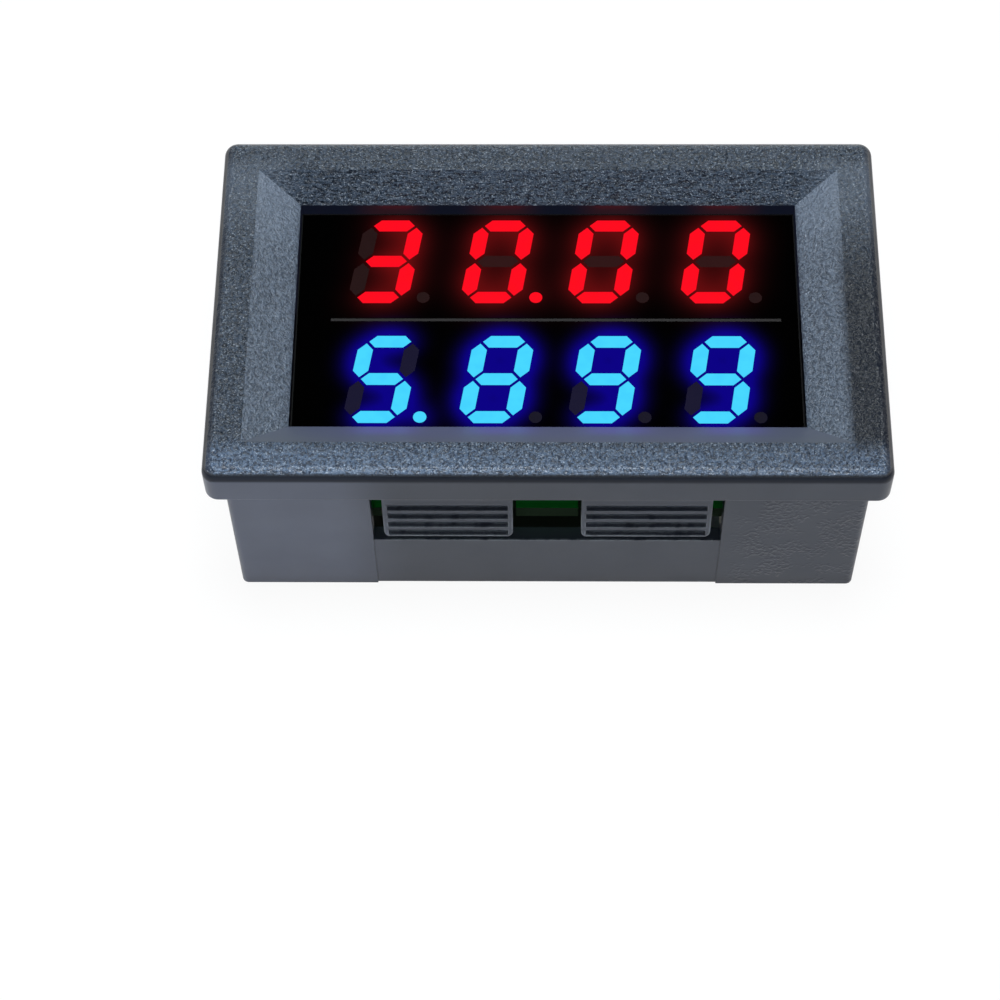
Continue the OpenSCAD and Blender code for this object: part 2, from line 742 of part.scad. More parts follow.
// A solder cone with a square lead through it, standing on Z = 0
module square_joint(lead_w) {
    base_r = lead_w / 2 + solder_reach;
    difference() {
        cylinder(h = solder_h, r1 = base_r, r2 = lead_w * 0.75);
        translate([0, 0, -cut]) block(lead_w, lead_w, solder_h + 2 * cut);
    }
}

module display_solder() {
    color("#b9bcc0")
        for (at = pin_places)
            on_rear(at[0], at[1]) round_joint(pin_r);
}

// ---- Circuit board ----

module circuit_board() {
    notch_w = tongue_w + 2 * board_notch_space;
    color("#0f5a2a") difference() {
        translate([0, 0, board_rear_z]) block(board_w, board_h, board_t);
        for (x = [-1, 1], y = [-1, 1])
            translate([x * tongue_x, y * board_h / 2, board_rear_z - cut])
                block(notch_w, 2 * board_notch_d, board_t + 2 * cut);
        for (at = pin_places) board_hole(at, pin_r + hole_clearance);
        for (at = supply_pin_places) board_hole(at, supply_pin_w * 0.75 + hole_clearance);
        for (at = current_pin_places) board_hole(at, current_pin_w * 0.75 + hole_clearance);
        for (at = shunt_places) board_hole(at, shunt_r + hole_clearance);
    }
}

module board_hole(at, r) {
    translate([at[0], at[1], board_rear_z - cut]) cylinder(h = board_t + 2 * cut, r = r);
}

// ---- Sockets ----

module supply_socket() {
    inner_d = supply_socket_d - 2 * supply_socket_wall;
    inner_l = supply_socket_l - 2 * supply_socket_wall;
    color("#f0f0ec") on_rear(supply_x, supply_y) difference() {
        block(supply_socket_d, supply_socket_l, supply_socket_h);
        translate([0, 0, supply_socket_floor]) block(inner_d, inner_l, supply_socket_h);
        for (side = [-1, 1]) {
            translate([supply_socket_d / 2, side * supply_pitch, supply_socket_floor])
                block(2 * supply_socket_wall + cut, supply_slot_w, supply_socket_h);
            translate([0, side * supply_socket_l / 2, supply_socket_h / 2])
                block(supply_slot_w, 2 * supply_socket_wall + cut, supply_socket_h);
        }
        for (i = [-1 : 1])
            translate([0, i * supply_pitch, -cut])
                block(supply_pin_w, supply_pin_w, supply_socket_floor + 2 * cut);
    }
}

// A square pin that comes through the board, with a pointed tip
module socket_pin(at, w, reach) {
    tip = w / 4;
    tail = board_t + solder_h;
    on_rear(at[0], at[1]) {
        translate([0, 0, -tail]) block(w, w, tail + reach - tip);
        translate([0, 0, reach - tip]) intersection() {
            along_x(w) polygon([[-w / 2, 0], [w / 2, 0], [w / 4, tip], [-w / 4, tip]]);
            along_y(w) polygon([[-w / 2, 0], [w / 2, 0], [w / 4, tip], [-w / 4, tip]]);
        }
    }
}

module supply_socket_pins() {
    color("#c9ccd0")
        for (at = supply_pin_places)
            socket_pin(at, supply_pin_w, supply_socket_h - supply_pin_drop);
}

module current_socket() {
    length = current_pitch + 2 * current_socket_end;
    wall_x = (current_lock_t - current_socket_d) / 2;
    lip_x = wall_x + current_lock_t / 2;
    lip_h = current_socket_h / 4;
    color("#f0f0ec") on_rear(current_x, current_y) difference() {
        union() {
            block(current_socket_d, length, current_socket_base);
            translate([wall_x, 0, 0]) block(current_lock_t, length, current_socket_h);
            along_y(length) polygon([
                [lip_x - current_lock_t / 4, current_socket_h],
                [lip_x, current_socket_h],
                [lip_x + current_lock_lip, current_socket_h - lip_h / 2],
                [lip_x, current_socket_h - lip_h],
                [lip_x - current_lock_t / 4, current_socket_h - lip_h]
            ]);
        }
        for (side = [-1, 1]) {
            translate([wall_x, side * length / 4, current_socket_base])
                block(2 * current_lock_t + cut, current_slit_w, current_socket_h);
            translate([current_pin_shift, side * current_pitch / 2, -cut])
                block(current_pin_w, current_pin_w, current_socket_base + 2 * cut);
        }
    }
}

module current_socket_pins() {
    color("#c9ccd0")
        for (at = current_pin_places)
            socket_pin(at, current_pin_w, current_socket_h - current_pin_drop);
}

module socket_solder() {
    color("#b9bcc0") translate([0, 0, board_front_z]) {
        for (at = supply_pin_places)
            translate([at[0], at[1], 0]) square_joint(supply_pin_w);
        for (at = current_pin_places)
            translate([at[0], at[1], 0]) square_joint(current_pin_w);
        for (at = shunt_places)
            translate([at[0], at[1], 0]) round_joint(shunt_r);
    }
}

module current_shunt() {
    tail = board_t + solder_h;
    bend_y = shunt_span / 2 - shunt_bend_r;
    color("#b08d57") on_rear(shunt_x, shunt_y) {
        for (side = [-1, 1]) {
            translate([0, side * shunt_span / 2, -tail])
                cylinder(h = tail + shunt_rise - shunt_bend_r, r = shunt_r);
            translate([0, side * bend_y, shunt_rise - shunt_bend_r])
                rotate([0, 0, side * 90]) rotate([90, 0, 0])
                    rotate_extrude(angle = 90) translate([shunt_bend_r, 0]) circle(shunt_r);
        }
        translate([0, -bend_y, shunt_rise]) rotate([-90, 0, 0]) cylinder(h = 2 * bend_y, r = shunt_r);
    }
}

// ---- Trimmers ----

module trimmer_body(x) {
    color("#1f3a66") on_rear(x, trimmer_y) difference() {
        block(trimmer_w, trimmer_w, trimmer_h);
        translate([0, 0, trimmer_h - rotor_recess])
            cylinder(h = rotor_recess + cut, r = rotor_r + rotor_clearance);
        translate([0, 0, trimmer_h - rotor_recess - spigot_l - rotor_clearance])
            cylinder(h = spigot_l + cut, r = spigot_r + rotor_clearance);
    }
}

module trimmer_rotor(x) {
    disc_z = trimmer_h - rotor_recess + rotor_clearance;
    top_z = trimmer_h + rotor_proud;
    color("#d9dade") on_rear(x, trimmer_y) difference() {
        union() {
            translate([0, 0, disc_z]) cylinder(h = top_z - disc_z, r = rotor_r);
            translate([0, 0, disc_z - spigot_l]) cylinder(h = spigot_l + cut / 4, r = spigot_r);
        }
        translate([0, 0, top_z - slot_depth]) {
            block(slot_l, slot_w, slot_depth + cut);
            block(slot_w, slot_l, slot_depth + cut);
        }
    }
}

module voltage_trimmer_body() { trimmer_body(voltage_trimmer_x); }
module voltage_trimmer_rotor() { trimmer_rotor(voltage_trimmer_x); }
module current_trimmer_body() { trimmer_body(current_trimmer_x); }
module current_trimmer_rotor() { trimmer_rotor(current_trimmer_x); }

// A bent metal tab at a part's side, with its foot on the board; side points along +X
module side_tab(body_edge, rise, w) {
    translate([body_edge, 0, 0]) along_y(w) polygon([
        [0, rise], [terminal_t, rise], [terminal_t, terminal_t], [terminal_reach, terminal_t],
        [terminal_reach, 0], [0, 0]
    ]);
}

module trimmer_terminals() {
    color("#b9bcc0")
        for (x = [voltage_trimmer_x, current_trimmer_x])
            on_rear(x, trimmer_y, 90) {
                side_tab(trimmer_w / 2, trimmer_h / 2, terminal_w);
                for (y = [-1, 1])
                    mirror([1, 0, 0]) translate([0, y * trimmer_w / 4, 0])
                        side_tab(trimmer_w / 2, trimmer_h / 2, terminal_w);
            }
}

// ---- Chips ----

// A chip's body, long in X, with sloped long sides and a dimple at its first lead
module chip_body(l, w, h) {
    difference() {
        translate([0, 0, chip_standoff]) along_x(l) polygon([
            [chip_draft - w / 2, 0], [w / 2 - chip_draft, 0], [w / 2, h / 2],
            [w / 2 - chip_draft, h], [chip_draft - w / 2, h], [-w / 2, h / 2]
        ]);
        translate([
            3 * dimple_r - l / 2, 3 * dimple_r - w / 2 + chip_draft,
            chip_standoff + h - dimple_depth
        ]) cylinder(h = dimple_depth + cut, r = dimple_r);
    }
}

// Gull-wing leads along both long sides of a chip
module chip_leads(count, pitch, lead_w, w, h, reach_past) {
    mid_z = chip_standoff + h / 2;
    reach = w / 2 + reach_past;
    foot = reach_past / 2;
    for (side = [0, 1], i = [0 : count - 1])
        mirror([0, side, 0]) translate([(i - (count - 1) / 2) * pitch, 0, 0])
            along_x(lead_w) polygon([
                [w / 2, mid_z + lead_t / 2], [reach - foot - lead_t, mid_z + lead_t / 2],
                [reach - foot + lead_t / 2, lead_t], [reach, lead_t],
                [reach, 0], [reach - foot - lead_t / 2, 0],
                [reach - foot - 2 * lead_t, mid_z - lead_t / 2], [w / 2, mid_z - lead_t / 2]
            ]);
}

module microcontroller() {
    color("#17181a") on_rear(microcontroller_x, microcontroller_y)
        chip_body(microcontroller_l, microcontroller_w, microcontroller_h);
}

module microcontroller_leads() {
    color("#b9bcc0") on_rear(microcontroller_x, microcontroller_y)
        chip_leads(
            microcontroller_lead_count, microcontroller_pitch, microcontroller_lead_w,
            microcontroller_w, microcontroller_h, microcontroller_reach
        );
}

module display_driver() {
    color("#17181a") on_rear(driver_x, driver_y) chip_body(driver_l, driver_w, driver_h);
}

module display_driver_leads() {
    color("#b9bcc0") on_rear(driver_x, driver_y)
        chip_leads(
            driver_lead_count, driver_pitch, driver_lead_w, driver_w, driver_h, driver_reach
        );
}

module op_amp() {
    color("#17181a") on_rear(op_amp_x, microcontroller_y) chip_body(op_amp_l, driver_w, driver_h);
}

module op_amp_leads() {
    color("#b9bcc0") on_rear(op_amp_x, microcontroller_y)
        chip_leads(
            op_amp_lead_count, driver_pitch, driver_lead_w, driver_w, driver_h, driver_reach
        );
}

// ---- Small parts ----

module voltage_regulator() {
    color("#17181a") on_rear(regulator_x, regulator_y) translate([0, 0, terminal_t])
        along_x(regulator_l) polygon([
            [-regulator_w / 2, 0], [regulator_w / 2, 0],
            [regulator_w / 2 - chip_draft, regulator_h - terminal_t],
            [chip_draft - regulator_w / 2, regulator_h - terminal_t]
        ]);
}

module voltage_regulator_tabs() {
    color("#b9bcc0") on_rear(regulator_x, regulator_y) {
        block(regulator_l / 3, regulator_w + terminal_reach, terminal_t);
        for (x = [-1, 0, 1])
            translate([x * regulator_l / 3, -regulator_w / 2 - terminal_reach, 0])
                block(terminal_w / 2, 2 * terminal_reach, terminal_t);
    }
}

module protection_diode() {
    color("#1c1d20") on_rear(regulator_x, diode_y) translate([0, 0, chip_standoff])
        along_y(diode_w) polygon([
            [chip_draft - diode_l / 2, 0], [diode_l / 2 - chip_draft, 0],
            [diode_l / 2, diode_h / 2], [diode_l / 2 - chip_draft, diode_h],
            [chip_draft - diode_l / 2, diode_h], [-diode_l / 2, diode_h / 2]
        ]);
}

module protection_diode_tabs() {
    color("#b9bcc0") on_rear(regulator_x, diode_y)
        for (side = [0, 1])
            mirror([side, 0, 0]) side_tab(diode_l / 2, diode_h / 2, diode_w / 2);
}

module filter_capacitor_base() {
    corner = can_r / 2;
    color("#222326") on_rear(can_x, can_y, 90) linear_extrude(can_base_h) polygon([
        [-can_r, -can_r], [can_r - corner, -can_r], [can_r, corner - can_r],
        [can_r, can_r - corner], [can_r - corner, can_r], [-can_r, can_r]
    ]);
}

module filter_capacitor_can() {
    crimp = can_r / 12;
    color("#c4c7cb") on_rear(can_x, can_y, 90) translate([0, 0, can_base_h])
        rotate_extrude() polygon([
            [0, 0], [can_r - crimp, 0], [can_r - crimp, crimp], [can_r - 2 * crimp, 3 * crimp],
            [can_r - crimp, 5 * crimp], [can_r - crimp, can_h - can_base_h - crimp],
            [can_r - 2 * crimp, can_h - can_base_h], [0, can_h - can_base_h]
        ]);
}

module filter_capacitor_tabs() {
    color("#b9bcc0") on_rear(can_x, can_y, 90)
        for (side = [0, 1])
            mirror([side, 0, 0]) side_tab(can_r, can_base_h / 2, terminal_w);
}

// The middle of a chip resistor or capacitor
module chip_middle(h) {
    block(chip_l - 2 * chip_end_l, chip_w, h);
}

// The two metal ends of a chip resistor or capacitor
module chip_ends(h) {
    for (side = [-1, 1])
        translate([side * (chip_l - chip_end_l) / 2, 0, 0]) block(chip_end_l, chip_w, h);
}

module chip_resistors() {
    color("#151517")
        for (at = resistor_places) on_rear(at[0], at[1], at[2]) chip_middle(resistor_h);
}

module chip_resistor_ends() {
    color("#b9bcc0")
        for (at = resistor_places) on_rear(at[0], at[1], at[2]) chip_ends(resistor_h);
}

module chip_capacitors() {
    color("#a5845a")
        for (at = capacitor_places) on_rear(at[0], at[1], at[2]) chip_middle(capacitor_h);
}

module chip_capacitor_ends() {
    color("#b9bcc0")
        for (at = capacitor_places) on_rear(at[0], at[1], at[2]) chip_ends(capacitor_h);
}

housing();
display_shell();
voltage_digit_1();
voltage_digit_2();
voltage_digit_3();
voltage_digit_4();
current_digit_1();
current_digit_2();
current_digit_3();
current_digit_4();
display_carrier();
display_pins();
display_solder();
circuit_board();
supply_socket();
supply_socket_pins();
current_socket();
current_socket_pins();
socket_solder();
current_shunt();
voltage_trimmer_body();
voltage_trimmer_rotor();
current_trimmer_body();
current_trimmer_rotor();
trimmer_terminals();
microcontroller();
microcontroller_leads();
display_driver();
display_driver_leads();
op_amp();
op_amp_leads();
voltage_regulator();
voltage_regulator_tabs();
protection_diode();
protection_diode_tabs();
filter_capacitor_can();
filter_capacitor_base();
filter_capacitor_tabs();
chip_resistors();
chip_resistor_ends();
chip_capacitors();
chip_capacitor_ends();
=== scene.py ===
import json
import math
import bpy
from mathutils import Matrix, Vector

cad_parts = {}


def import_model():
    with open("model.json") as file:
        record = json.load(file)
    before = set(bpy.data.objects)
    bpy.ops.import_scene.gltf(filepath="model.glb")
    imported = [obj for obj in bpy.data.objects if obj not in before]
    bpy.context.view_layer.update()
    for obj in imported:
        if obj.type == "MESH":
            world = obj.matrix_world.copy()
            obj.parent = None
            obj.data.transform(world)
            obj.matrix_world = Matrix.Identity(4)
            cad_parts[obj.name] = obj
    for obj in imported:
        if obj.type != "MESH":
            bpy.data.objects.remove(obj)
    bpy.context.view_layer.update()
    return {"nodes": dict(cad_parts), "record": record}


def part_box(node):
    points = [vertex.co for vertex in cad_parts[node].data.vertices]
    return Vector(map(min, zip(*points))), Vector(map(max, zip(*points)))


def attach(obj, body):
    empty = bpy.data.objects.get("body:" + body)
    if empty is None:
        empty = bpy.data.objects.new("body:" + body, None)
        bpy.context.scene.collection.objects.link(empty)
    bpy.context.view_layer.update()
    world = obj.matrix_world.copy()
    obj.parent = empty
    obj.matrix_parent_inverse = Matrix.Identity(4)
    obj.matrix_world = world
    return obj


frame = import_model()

from types import SimpleNamespace

import bmesh
import bpy
import numpy as np
from mathutils import Matrix, Vector
from mathutils.geometry import delaunay_2d_cdt

# Lengths are in metres: x runs to the right, y to the far side and z out of the meter's face

NODES = frame["nodes"]
MM = 0.001
BODY = "meter"

# What the display shows: the lit segments of each digit from left to right, p for the point
VOLTAGE_READING = ("abcdg", "abcdefp", "abcdef", "abcdef")
CURRENT_READING = ("acdfgp", "abcdefg", "abcdfg", "abcdfg")


def linear(level):
    """A linear value from an 8-bit sRGB level, or an array from an array of levels."""
    value = np.clip(level, 0, 255) / 255
    return np.where(value <= 0.04045, value / 12.92, ((value + 0.055) / 1.055) ** 2.4)


def srgb(red, green, blue):
    """A linear colour from 8-bit sRGB levels."""
    return tuple(float(linear(level)) for level in (red, green, blue))


# ---- Shader building ----

BEVEL_SAMPLES = 4
MIDDLE = (0.3, 0.7)  # The part of a noise's range that most of it fills


def around(place, edges):
    """The two ends of a step that lies at a place."""
    return place + edges[0], place + edges[1]


class Nodes:
    """Short calls that add nodes to a tree and link them."""

    def __init__(self, tree):
        self.tree = tree

    def feed(self, socket, value):
        """Links a socket to the value, or sets the value on it."""
        if isinstance(value, bpy.types.NodeSocket):
            self.tree.links.new(value, socket)
        elif isinstance(value, (tuple, list)) and len(value) == 3 and socket.type == "RGBA":
            socket.default_value = (*value, 1)
        else:
            socket.default_value = value

    def add(self, kind, inputs=None, **settings):
        """A new node, with its inputs by name or number."""
        node = self.tree.nodes.new("ShaderNode" + kind)
        for name, value in settings.items():
            setattr(node, name, value)
        for name, value in (inputs or {}).items():
            self.feed(node.inputs[name], value)
        return node

    def math(self, operation, a, b=0.0):
        return self.add("Math", {0: a, 1: b}, operation=operation).outputs[0]

    def size_of(self, value):
        """The value without its sign."""
        return self.math("ABSOLUTE", value)

    def total(self, a, b):
        return self.math("ADD", a, b)

    def both(self, first, *others):
        """Where all of the masks are: their product."""
        for other in others:
            first = self.math("MULTIPLY", first, other)
        return first

    def without(self, mask):
        """Where the mask isn't."""
        return self.math("SUBTRACT", 1.0, mask)

    def mix(self, factor, a, b, blend="MIX"):
        """A colour from a to b."""
        node = self.add("Mix", {0: factor, 6: a, 7: b}, data_type="RGBA", blend_type=blend)
        return node.outputs[2]

    def between(self, factor, a, b):
        """A number from a to b."""
        return self.add("Mix", {0: factor, 2: a, 3: b}, data_type="FLOAT").outputs[0]

    def shown_white(self):
        """1 for the rays that should meet plain white: camera, glossy and transmission rays."""
        path = self.add("LightPath").outputs
        either = self.math("MAXIMUM", path["Is Camera Ray"], path["Is Glossy Ray"])
        return self.math("MAXIMUM", either, path["Is Transmission Ray"])


class Shader(Nodes):
    """A node-based material round one Principled BSDF, with positions in millimetres."""

    def __init__(self, name, **sockets):
        self.material = bpy.data.materials.new(name)
        self.material.use_nodes = True
        super().__init__(self.material.node_tree)
        self.bsdf = self.tree.nodes["Principled BSDF"]
        self.coordinates = None
        self.set(**sockets)

    def set(self, **sockets):
        """Sets the Principled sockets: roughness=0.4 sets Roughness."""
        for name, value in sockets.items():
            title = name.replace("_", " ").title().replace("Ior", "IOR")
            self.feed(self.bsdf.inputs[title], value)

    def place(self):
        """The position on the object. It also makes axes and facing, its normal's parts."""
        if self.coordinates is None:
            node = self.add("TexCoord")
            scaled = self.add(
                "VectorMath", {0: node.outputs["Object"], "Scale": 1 / MM}, operation="SCALE"
            )
            self.coordinates = scaled.outputs[0]
            self.axes = self.add("SeparateXYZ", {0: self.coordinates}).outputs
            self.facing = self.add("SeparateXYZ", {0: node.outputs["Normal"]}).outputs
        return self.coordinates

    def stretched(self, x, y, z):
        """The position with each axis scaled, for grain that runs one way."""
        return self.add(
            "VectorMath", {0: self.place(), 1: (x, y, z)}, operation="MULTIPLY"
        ).outputs[0]

    def step(self, value, low, high, to_low=0.0, to_high=1.0):
        """A smooth step from low to high."""
        return self.add(
            "MapRange",
            {"Value": value, "From Min": low, "From Max": high,
             "To Min": to_low, "To Max": to_high},
            interpolation_type="SMOOTHSTEP",
        ).outputs[0]

    def noise(self, scale, detail=2.0, roughness=0.5, vector=None, distortion=0.0):
        return self.add(
            "TexNoise",
            {"Vector": vector or self.place(), "Scale": scale, "Detail": detail,
             "Roughness": roughness, "Distortion": distortion},
        ).outputs[0]

    def rounded(self, radius):
        """The normal of the shape with its sharp edges rounded."""
        return self.add("Bevel", {"Radius": radius * MM}, samples=BEVEL_SAMPLES).outputs[0]

    def bump(self, height, depth, round_edges=None):
        """Bump of a height from 0 to 1, with its depth in millimetres."""
        inputs = {"Height": height, "Distance": depth * MM, "Strength": 1.0}
        if round_edges:
            inputs["Normal"] = self.rounded(round_edges)
        self.set(normal=self.add("Bump", inputs).outputs[0])

    def edges(self, radius, low, high):
        """1 along the sharp edges of the shape, 0 on its plain faces."""
        normal = self.add("NewGeometry").outputs["Normal"]
        turned = self.add(
            "VectorMath", {0: self.rounded(radius), 1: normal}, operation="DOT_PRODUCT"
        )
        return self.step(turned.outputs["Value"], 1 - low, 1 - high)


# ---- Materials ----

# The housing's masks: steps of a face's normal
NEAR_SLOPE = (0.25, 0.45)
FAR_SLOPE = (-0.2, -0.35)
SIDE_SLOPE = (0.2, 0.35)
LEVEL = (0.12, 0.3)
FACING_UP = (0.62, 0.8)
SIDE_FILLET = (0.1, 0.4)
UNDER_FILLET = (0.04, 0.24)

# Steps round an edge of the shape, in millimetres from it
GRAIN_EDGE = (-0.25, 0.25)
LIP_FOOT = (-0.2, 0.0)
LIP_TOP = (0.9, 1.0)
WINDOW_EDGE = (0.3, 0.1)
FILLET_EDGE = (-1.0, -0.7)
SLEEVE_TOP = (0.0, -0.3)
TONGUE_FACE = (-0.1, 0.0)
TONGUE_END = (0.1, 0.0)

# Steps between areas of painted light and shade, painted glow, wear and dimples, in millimetres
# from the meter's middle
NEAR_STRIP_Y = (-11.0, -13.0)
NEAR_STRIP_X = (-21.0, 21.0)
FAR_END_Y = (2.0, 11.0)
RIGHT_FLANGE_X = (20.6, 21.6)
RIGHT_FLANGE_Y = (9.0, 0.0)
FAR_SIDES_X = (18.0, 20.5)
FAR_SIDES_Y = (4.0, 11.0)
FAR_SIDES_END = (13.4, 11.4)
LEFT_SLEEVE_X = (-9.5, -16.0)
SLEEVE_FACE_Y = (13.0, 13.2)
DIMPLES_X = (12.5, 15.5)
WEAR_AND_HIGHLIGHT_Z = (12.0, 8.0)
LIT_X = (17.5, 15.5)
BLUE_X = (19.0, 12.0)


def housing_masks(s, sizes):
    """Where the parts of the moulding are, and the areas that get painted light, painted shade or
    another tone.
    """
    x, y, z = s.axes
    normal_x, normal_y, normal_z = s.facing
    across, along = s.size_of(x), s.size_of(y)
    m = SimpleNamespace()
    m.bezel = s.step(z, *around(sizes["grain_z"], GRAIN_EDGE))
    m.near_slope = s.both(s.step(normal_y, *NEAR_SLOPE), s.step(y, 0.0, -1.0))
    m.far_slope = s.step(normal_y, *FAR_SLOPE)
    m.side_slope = s.step(s.size_of(normal_x), *SIDE_SLOPE)
    m.lip = s.both(
        s.without(s.step(s.size_of(normal_z), *LEVEL)),
        s.step(z, *around(sizes["face_z"], LIP_FOOT)),
        s.step(across, *around(sizes["window_x"], WINDOW_EDGE)),
        s.step(along, *around(sizes["window_y"], WINDOW_EDGE)),
    )
    m.near_bevel = s.both(m.near_slope, s.step(z, *around(sizes["face_z"], LIP_TOP)))
    m.grain = s.both(
        m.bezel, s.step(normal_z, *FACING_UP),
        s.without(s.math("MAXIMUM", m.near_slope, m.lip)),
    )
    m.edge = s.math(
        "MAXIMUM",
        s.step(across, *around(sizes["edge_x"], FILLET_EDGE)),
        s.step(along, *around(sizes["edge_y"], FILLET_EDGE)),
    )
    m.side_fillet = s.both(m.edge, s.step(s.size_of(normal_x), *SIDE_FILLET))
    m.under_fillet = s.both(m.edge, m.bezel, s.step(normal_z, *UNDER_FILLET))
    m.near_strip = s.step(y, *NEAR_STRIP_Y)
    m.right_flange = s.both(
        s.step(x, *RIGHT_FLANGE_X), s.step(y, *RIGHT_FLANGE_Y), s.without(m.near_strip)
    )
    m.far_sides = s.both(
        s.step(across, *FAR_SIDES_X), s.step(y, *FAR_SIDES_Y), s.step(y, *FAR_SIDES_END)
    )
    m.left_sleeve = s.both(s.step(x, *LEFT_SLEEVE_X), s.step(along, *SLEEVE_FACE_Y))
    m.dimpled = s.both(
        s.step(x, *DIMPLES_X), s.step(z, *around(sizes["sleeve_z"], SLEEVE_TOP))
    )
    m.tongue = s.both(
        s.step(along, *around(sizes["tongue_y"], TONGUE_FACE)),
        s.step(z, *around(sizes["tongue_z"], TONGUE_END)),
        s.step(across, *around(sizes["tongues_x"], TONGUE_END)),
    )
    return m


GRAIN_DEPTH = 0.25
GRAIN_MEAN = 0.72
STREAK_MEAN = 0.46
FINE_SHARE = 0.45
CALM_EDGE = 0.5
FLOW_DEPTH = 0.05
DIMPLE_DEPTH = 0.13
HOUSING_EDGE_R = 0.12


def housing_relief(s, m):
    """The grain of the bezel, and the faint flow marks and dimples of the sleeve."""
    fine = s.noise(7.0, detail=1.0, roughness=0.6)
    worms = s.noise(3.6, roughness=0.6, distortion=0.5)
    streaks = s.noise(4.5, roughness=0.6, vector=s.stretched(0.3, 1.0, 1.0))
    streaks = s.both(s.math("SUBTRACT", streaks, STREAK_MEAN), m.far_slope)
    height = s.total(s.both(fine, FINE_SHARE), s.total(worms, streaks))
    calm = s.step(m.edge, 0.0, 1.0, 1.0, CALM_EDGE)
    relief = s.total(s.both(s.math("SUBTRACT", height, GRAIN_MEAN), calm), GRAIN_MEAN)
    flow = s.noise(0.3, detail=3.0, vector=s.stretched(0.8, 1.0, 1.2))
    patches = s.both(s.step(s.noise(0.45, detail=3.0), 0.4, 0.56), m.dimpled)
    dimples = s.both(patches, s.step(s.noise(3.0), 0.42, 0.68))
    plain = s.total(s.both(flow, FLOW_DEPTH), s.both(dimples, DIMPLE_DEPTH))
    s.bump(s.between(m.grain, plain, relief), GRAIN_DEPTH, round_edges=HOUSING_EDGE_R)
    return fine, height, flow


# The bezel's colours: the darkest is painted shade in the grain's pits, the glint and speck tones
# are painted highlights, the side tone is painted light, the shade is painted shade, and the near
# gains paint light on the near strip
HOUSING_PIT_SHADE = srgb(21, 29, 41)
HOUSING_LIGHT = srgb(54, 66, 82)
HIGHLIGHT_SPECK_TONE = srgb(150, 160, 172)
HOUSING_PAINTED_GLINT = srgb(94, 104, 117)
HOUSING_SHADE = srgb(8, 15, 28)
SIDE_PAINTED_LIGHT = srgb(114, 125, 141)
PAINTED_GLINT_SHARE = 0.6
HIGHLIGHT_SPECK_SHARE = (0.5, 0.25)  # On the whole bezel, and on its near strip
SIDE_LIGHT_SHARE = (0.42, 0.72)  # At the near end of the side bevels, and at the far end
SIDE_LIGHT_SWING = 0.14
FILLET_SHADE_SHARE = 0.85
SHADE_SHARE = 0.9
FAR_SIDES_LIGHT_SHARE = 0.24
NEAR_PAINTED_LIGHT_LEFT = (2.16, 2.27, 2.38)
NEAR_PAINTED_LIGHT_RIGHT = (1.66, 1.74, 1.84)


def bezel_colour(s, m, height):
    """Grain painted darker in its pits as painted shade and lighter on its tops, painted glints
    and highlight specks, and painted light and shade over the bezel's areas.
    """
    x, y, _ = s.axes
    # The grain is painted darker in its pits as painted shade, lighter on its tops
    tone = s.step(height, 0.58, 0.88)
    colour = s.mix(tone, HOUSING_PIT_SHADE, HOUSING_LIGHT)
    # Painted glints: light specks that stand in for highlights on the grain
    painted_glints = s.step(s.noise(6.5, roughness=0.7), 0.58, 0.74)
    colour = s.mix(s.both(painted_glints, PAINTED_GLINT_SHARE), colour, HOUSING_PAINTED_GLINT)
    # Painted highlight specks over the bezel, fewer on its near strip
    highlight_specks = s.step(s.noise(8.0, detail=1.0), 0.61, 0.7)
    highlight_specks = s.both(highlight_specks, s.step(m.near_strip, 0.0, 1.0, *HIGHLIGHT_SPECK_SHARE))
    colour = s.mix(highlight_specks, colour, HIGHLIGHT_SPECK_TONE)
    # Painted light: the side bevels lighter, more so towards the far end
    share = s.total(
        s.step(y, *FAR_END_Y, *SIDE_LIGHT_SHARE), s.step(tone, 0.0, 1.0, -SIDE_LIGHT_SWING, SIDE_LIGHT_SWING)
    )
    colour = s.mix(s.both(m.side_slope, share), colour, SIDE_PAINTED_LIGHT)
    # Painted shade on the side fillets
    colour = s.mix(s.both(m.side_fillet, FILLET_SHADE_SHARE), colour, HOUSING_SHADE)
    # Painted light: the near strip of the bezel lighter, most on the left
    near_painted_light = s.mix(s.step(x, *NEAR_STRIP_X), NEAR_PAINTED_LIGHT_LEFT, NEAR_PAINTED_LIGHT_RIGHT)
    colour = s.mix(1.0, colour, s.mix(m.near_strip, (1, 1, 1), near_painted_light), "MULTIPLY")
    # Painted shade on the right flange
    colour = s.mix(s.both(m.right_flange, SHADE_SHARE), colour, HOUSING_SHADE)
    # Painted light near the far ends of the sides
    return s.mix(s.both(m.far_sides, FAR_SIDES_LIGHT_SHARE), colour, SIDE_PAINTED_LIGHT)


# The sleeve's colours: the left gain paints light on the left of the sleeve, and the lighter edge
# tone is partly wear and partly painted highlight
SLEEVE_DARK = srgb(46, 51, 63)
SLEEVE_LIGHT = srgb(59, 64, 77)
BEVEL_TONE = srgb(68, 76, 86)
EDGE_WEAR_AND_HIGHLIGHT = srgb(150, 160, 172)
LEFT_PAINTED_LIGHT = (2.5, 2.4, 2.36)
WEAR_AND_HIGHLIGHT_EDGES = (0.3, 0.01, 0.08)
WEAR_AND_HIGHLIGHT_SHARE = (0.1, 0.5)  # Near the tongues' roots, and at their free ends


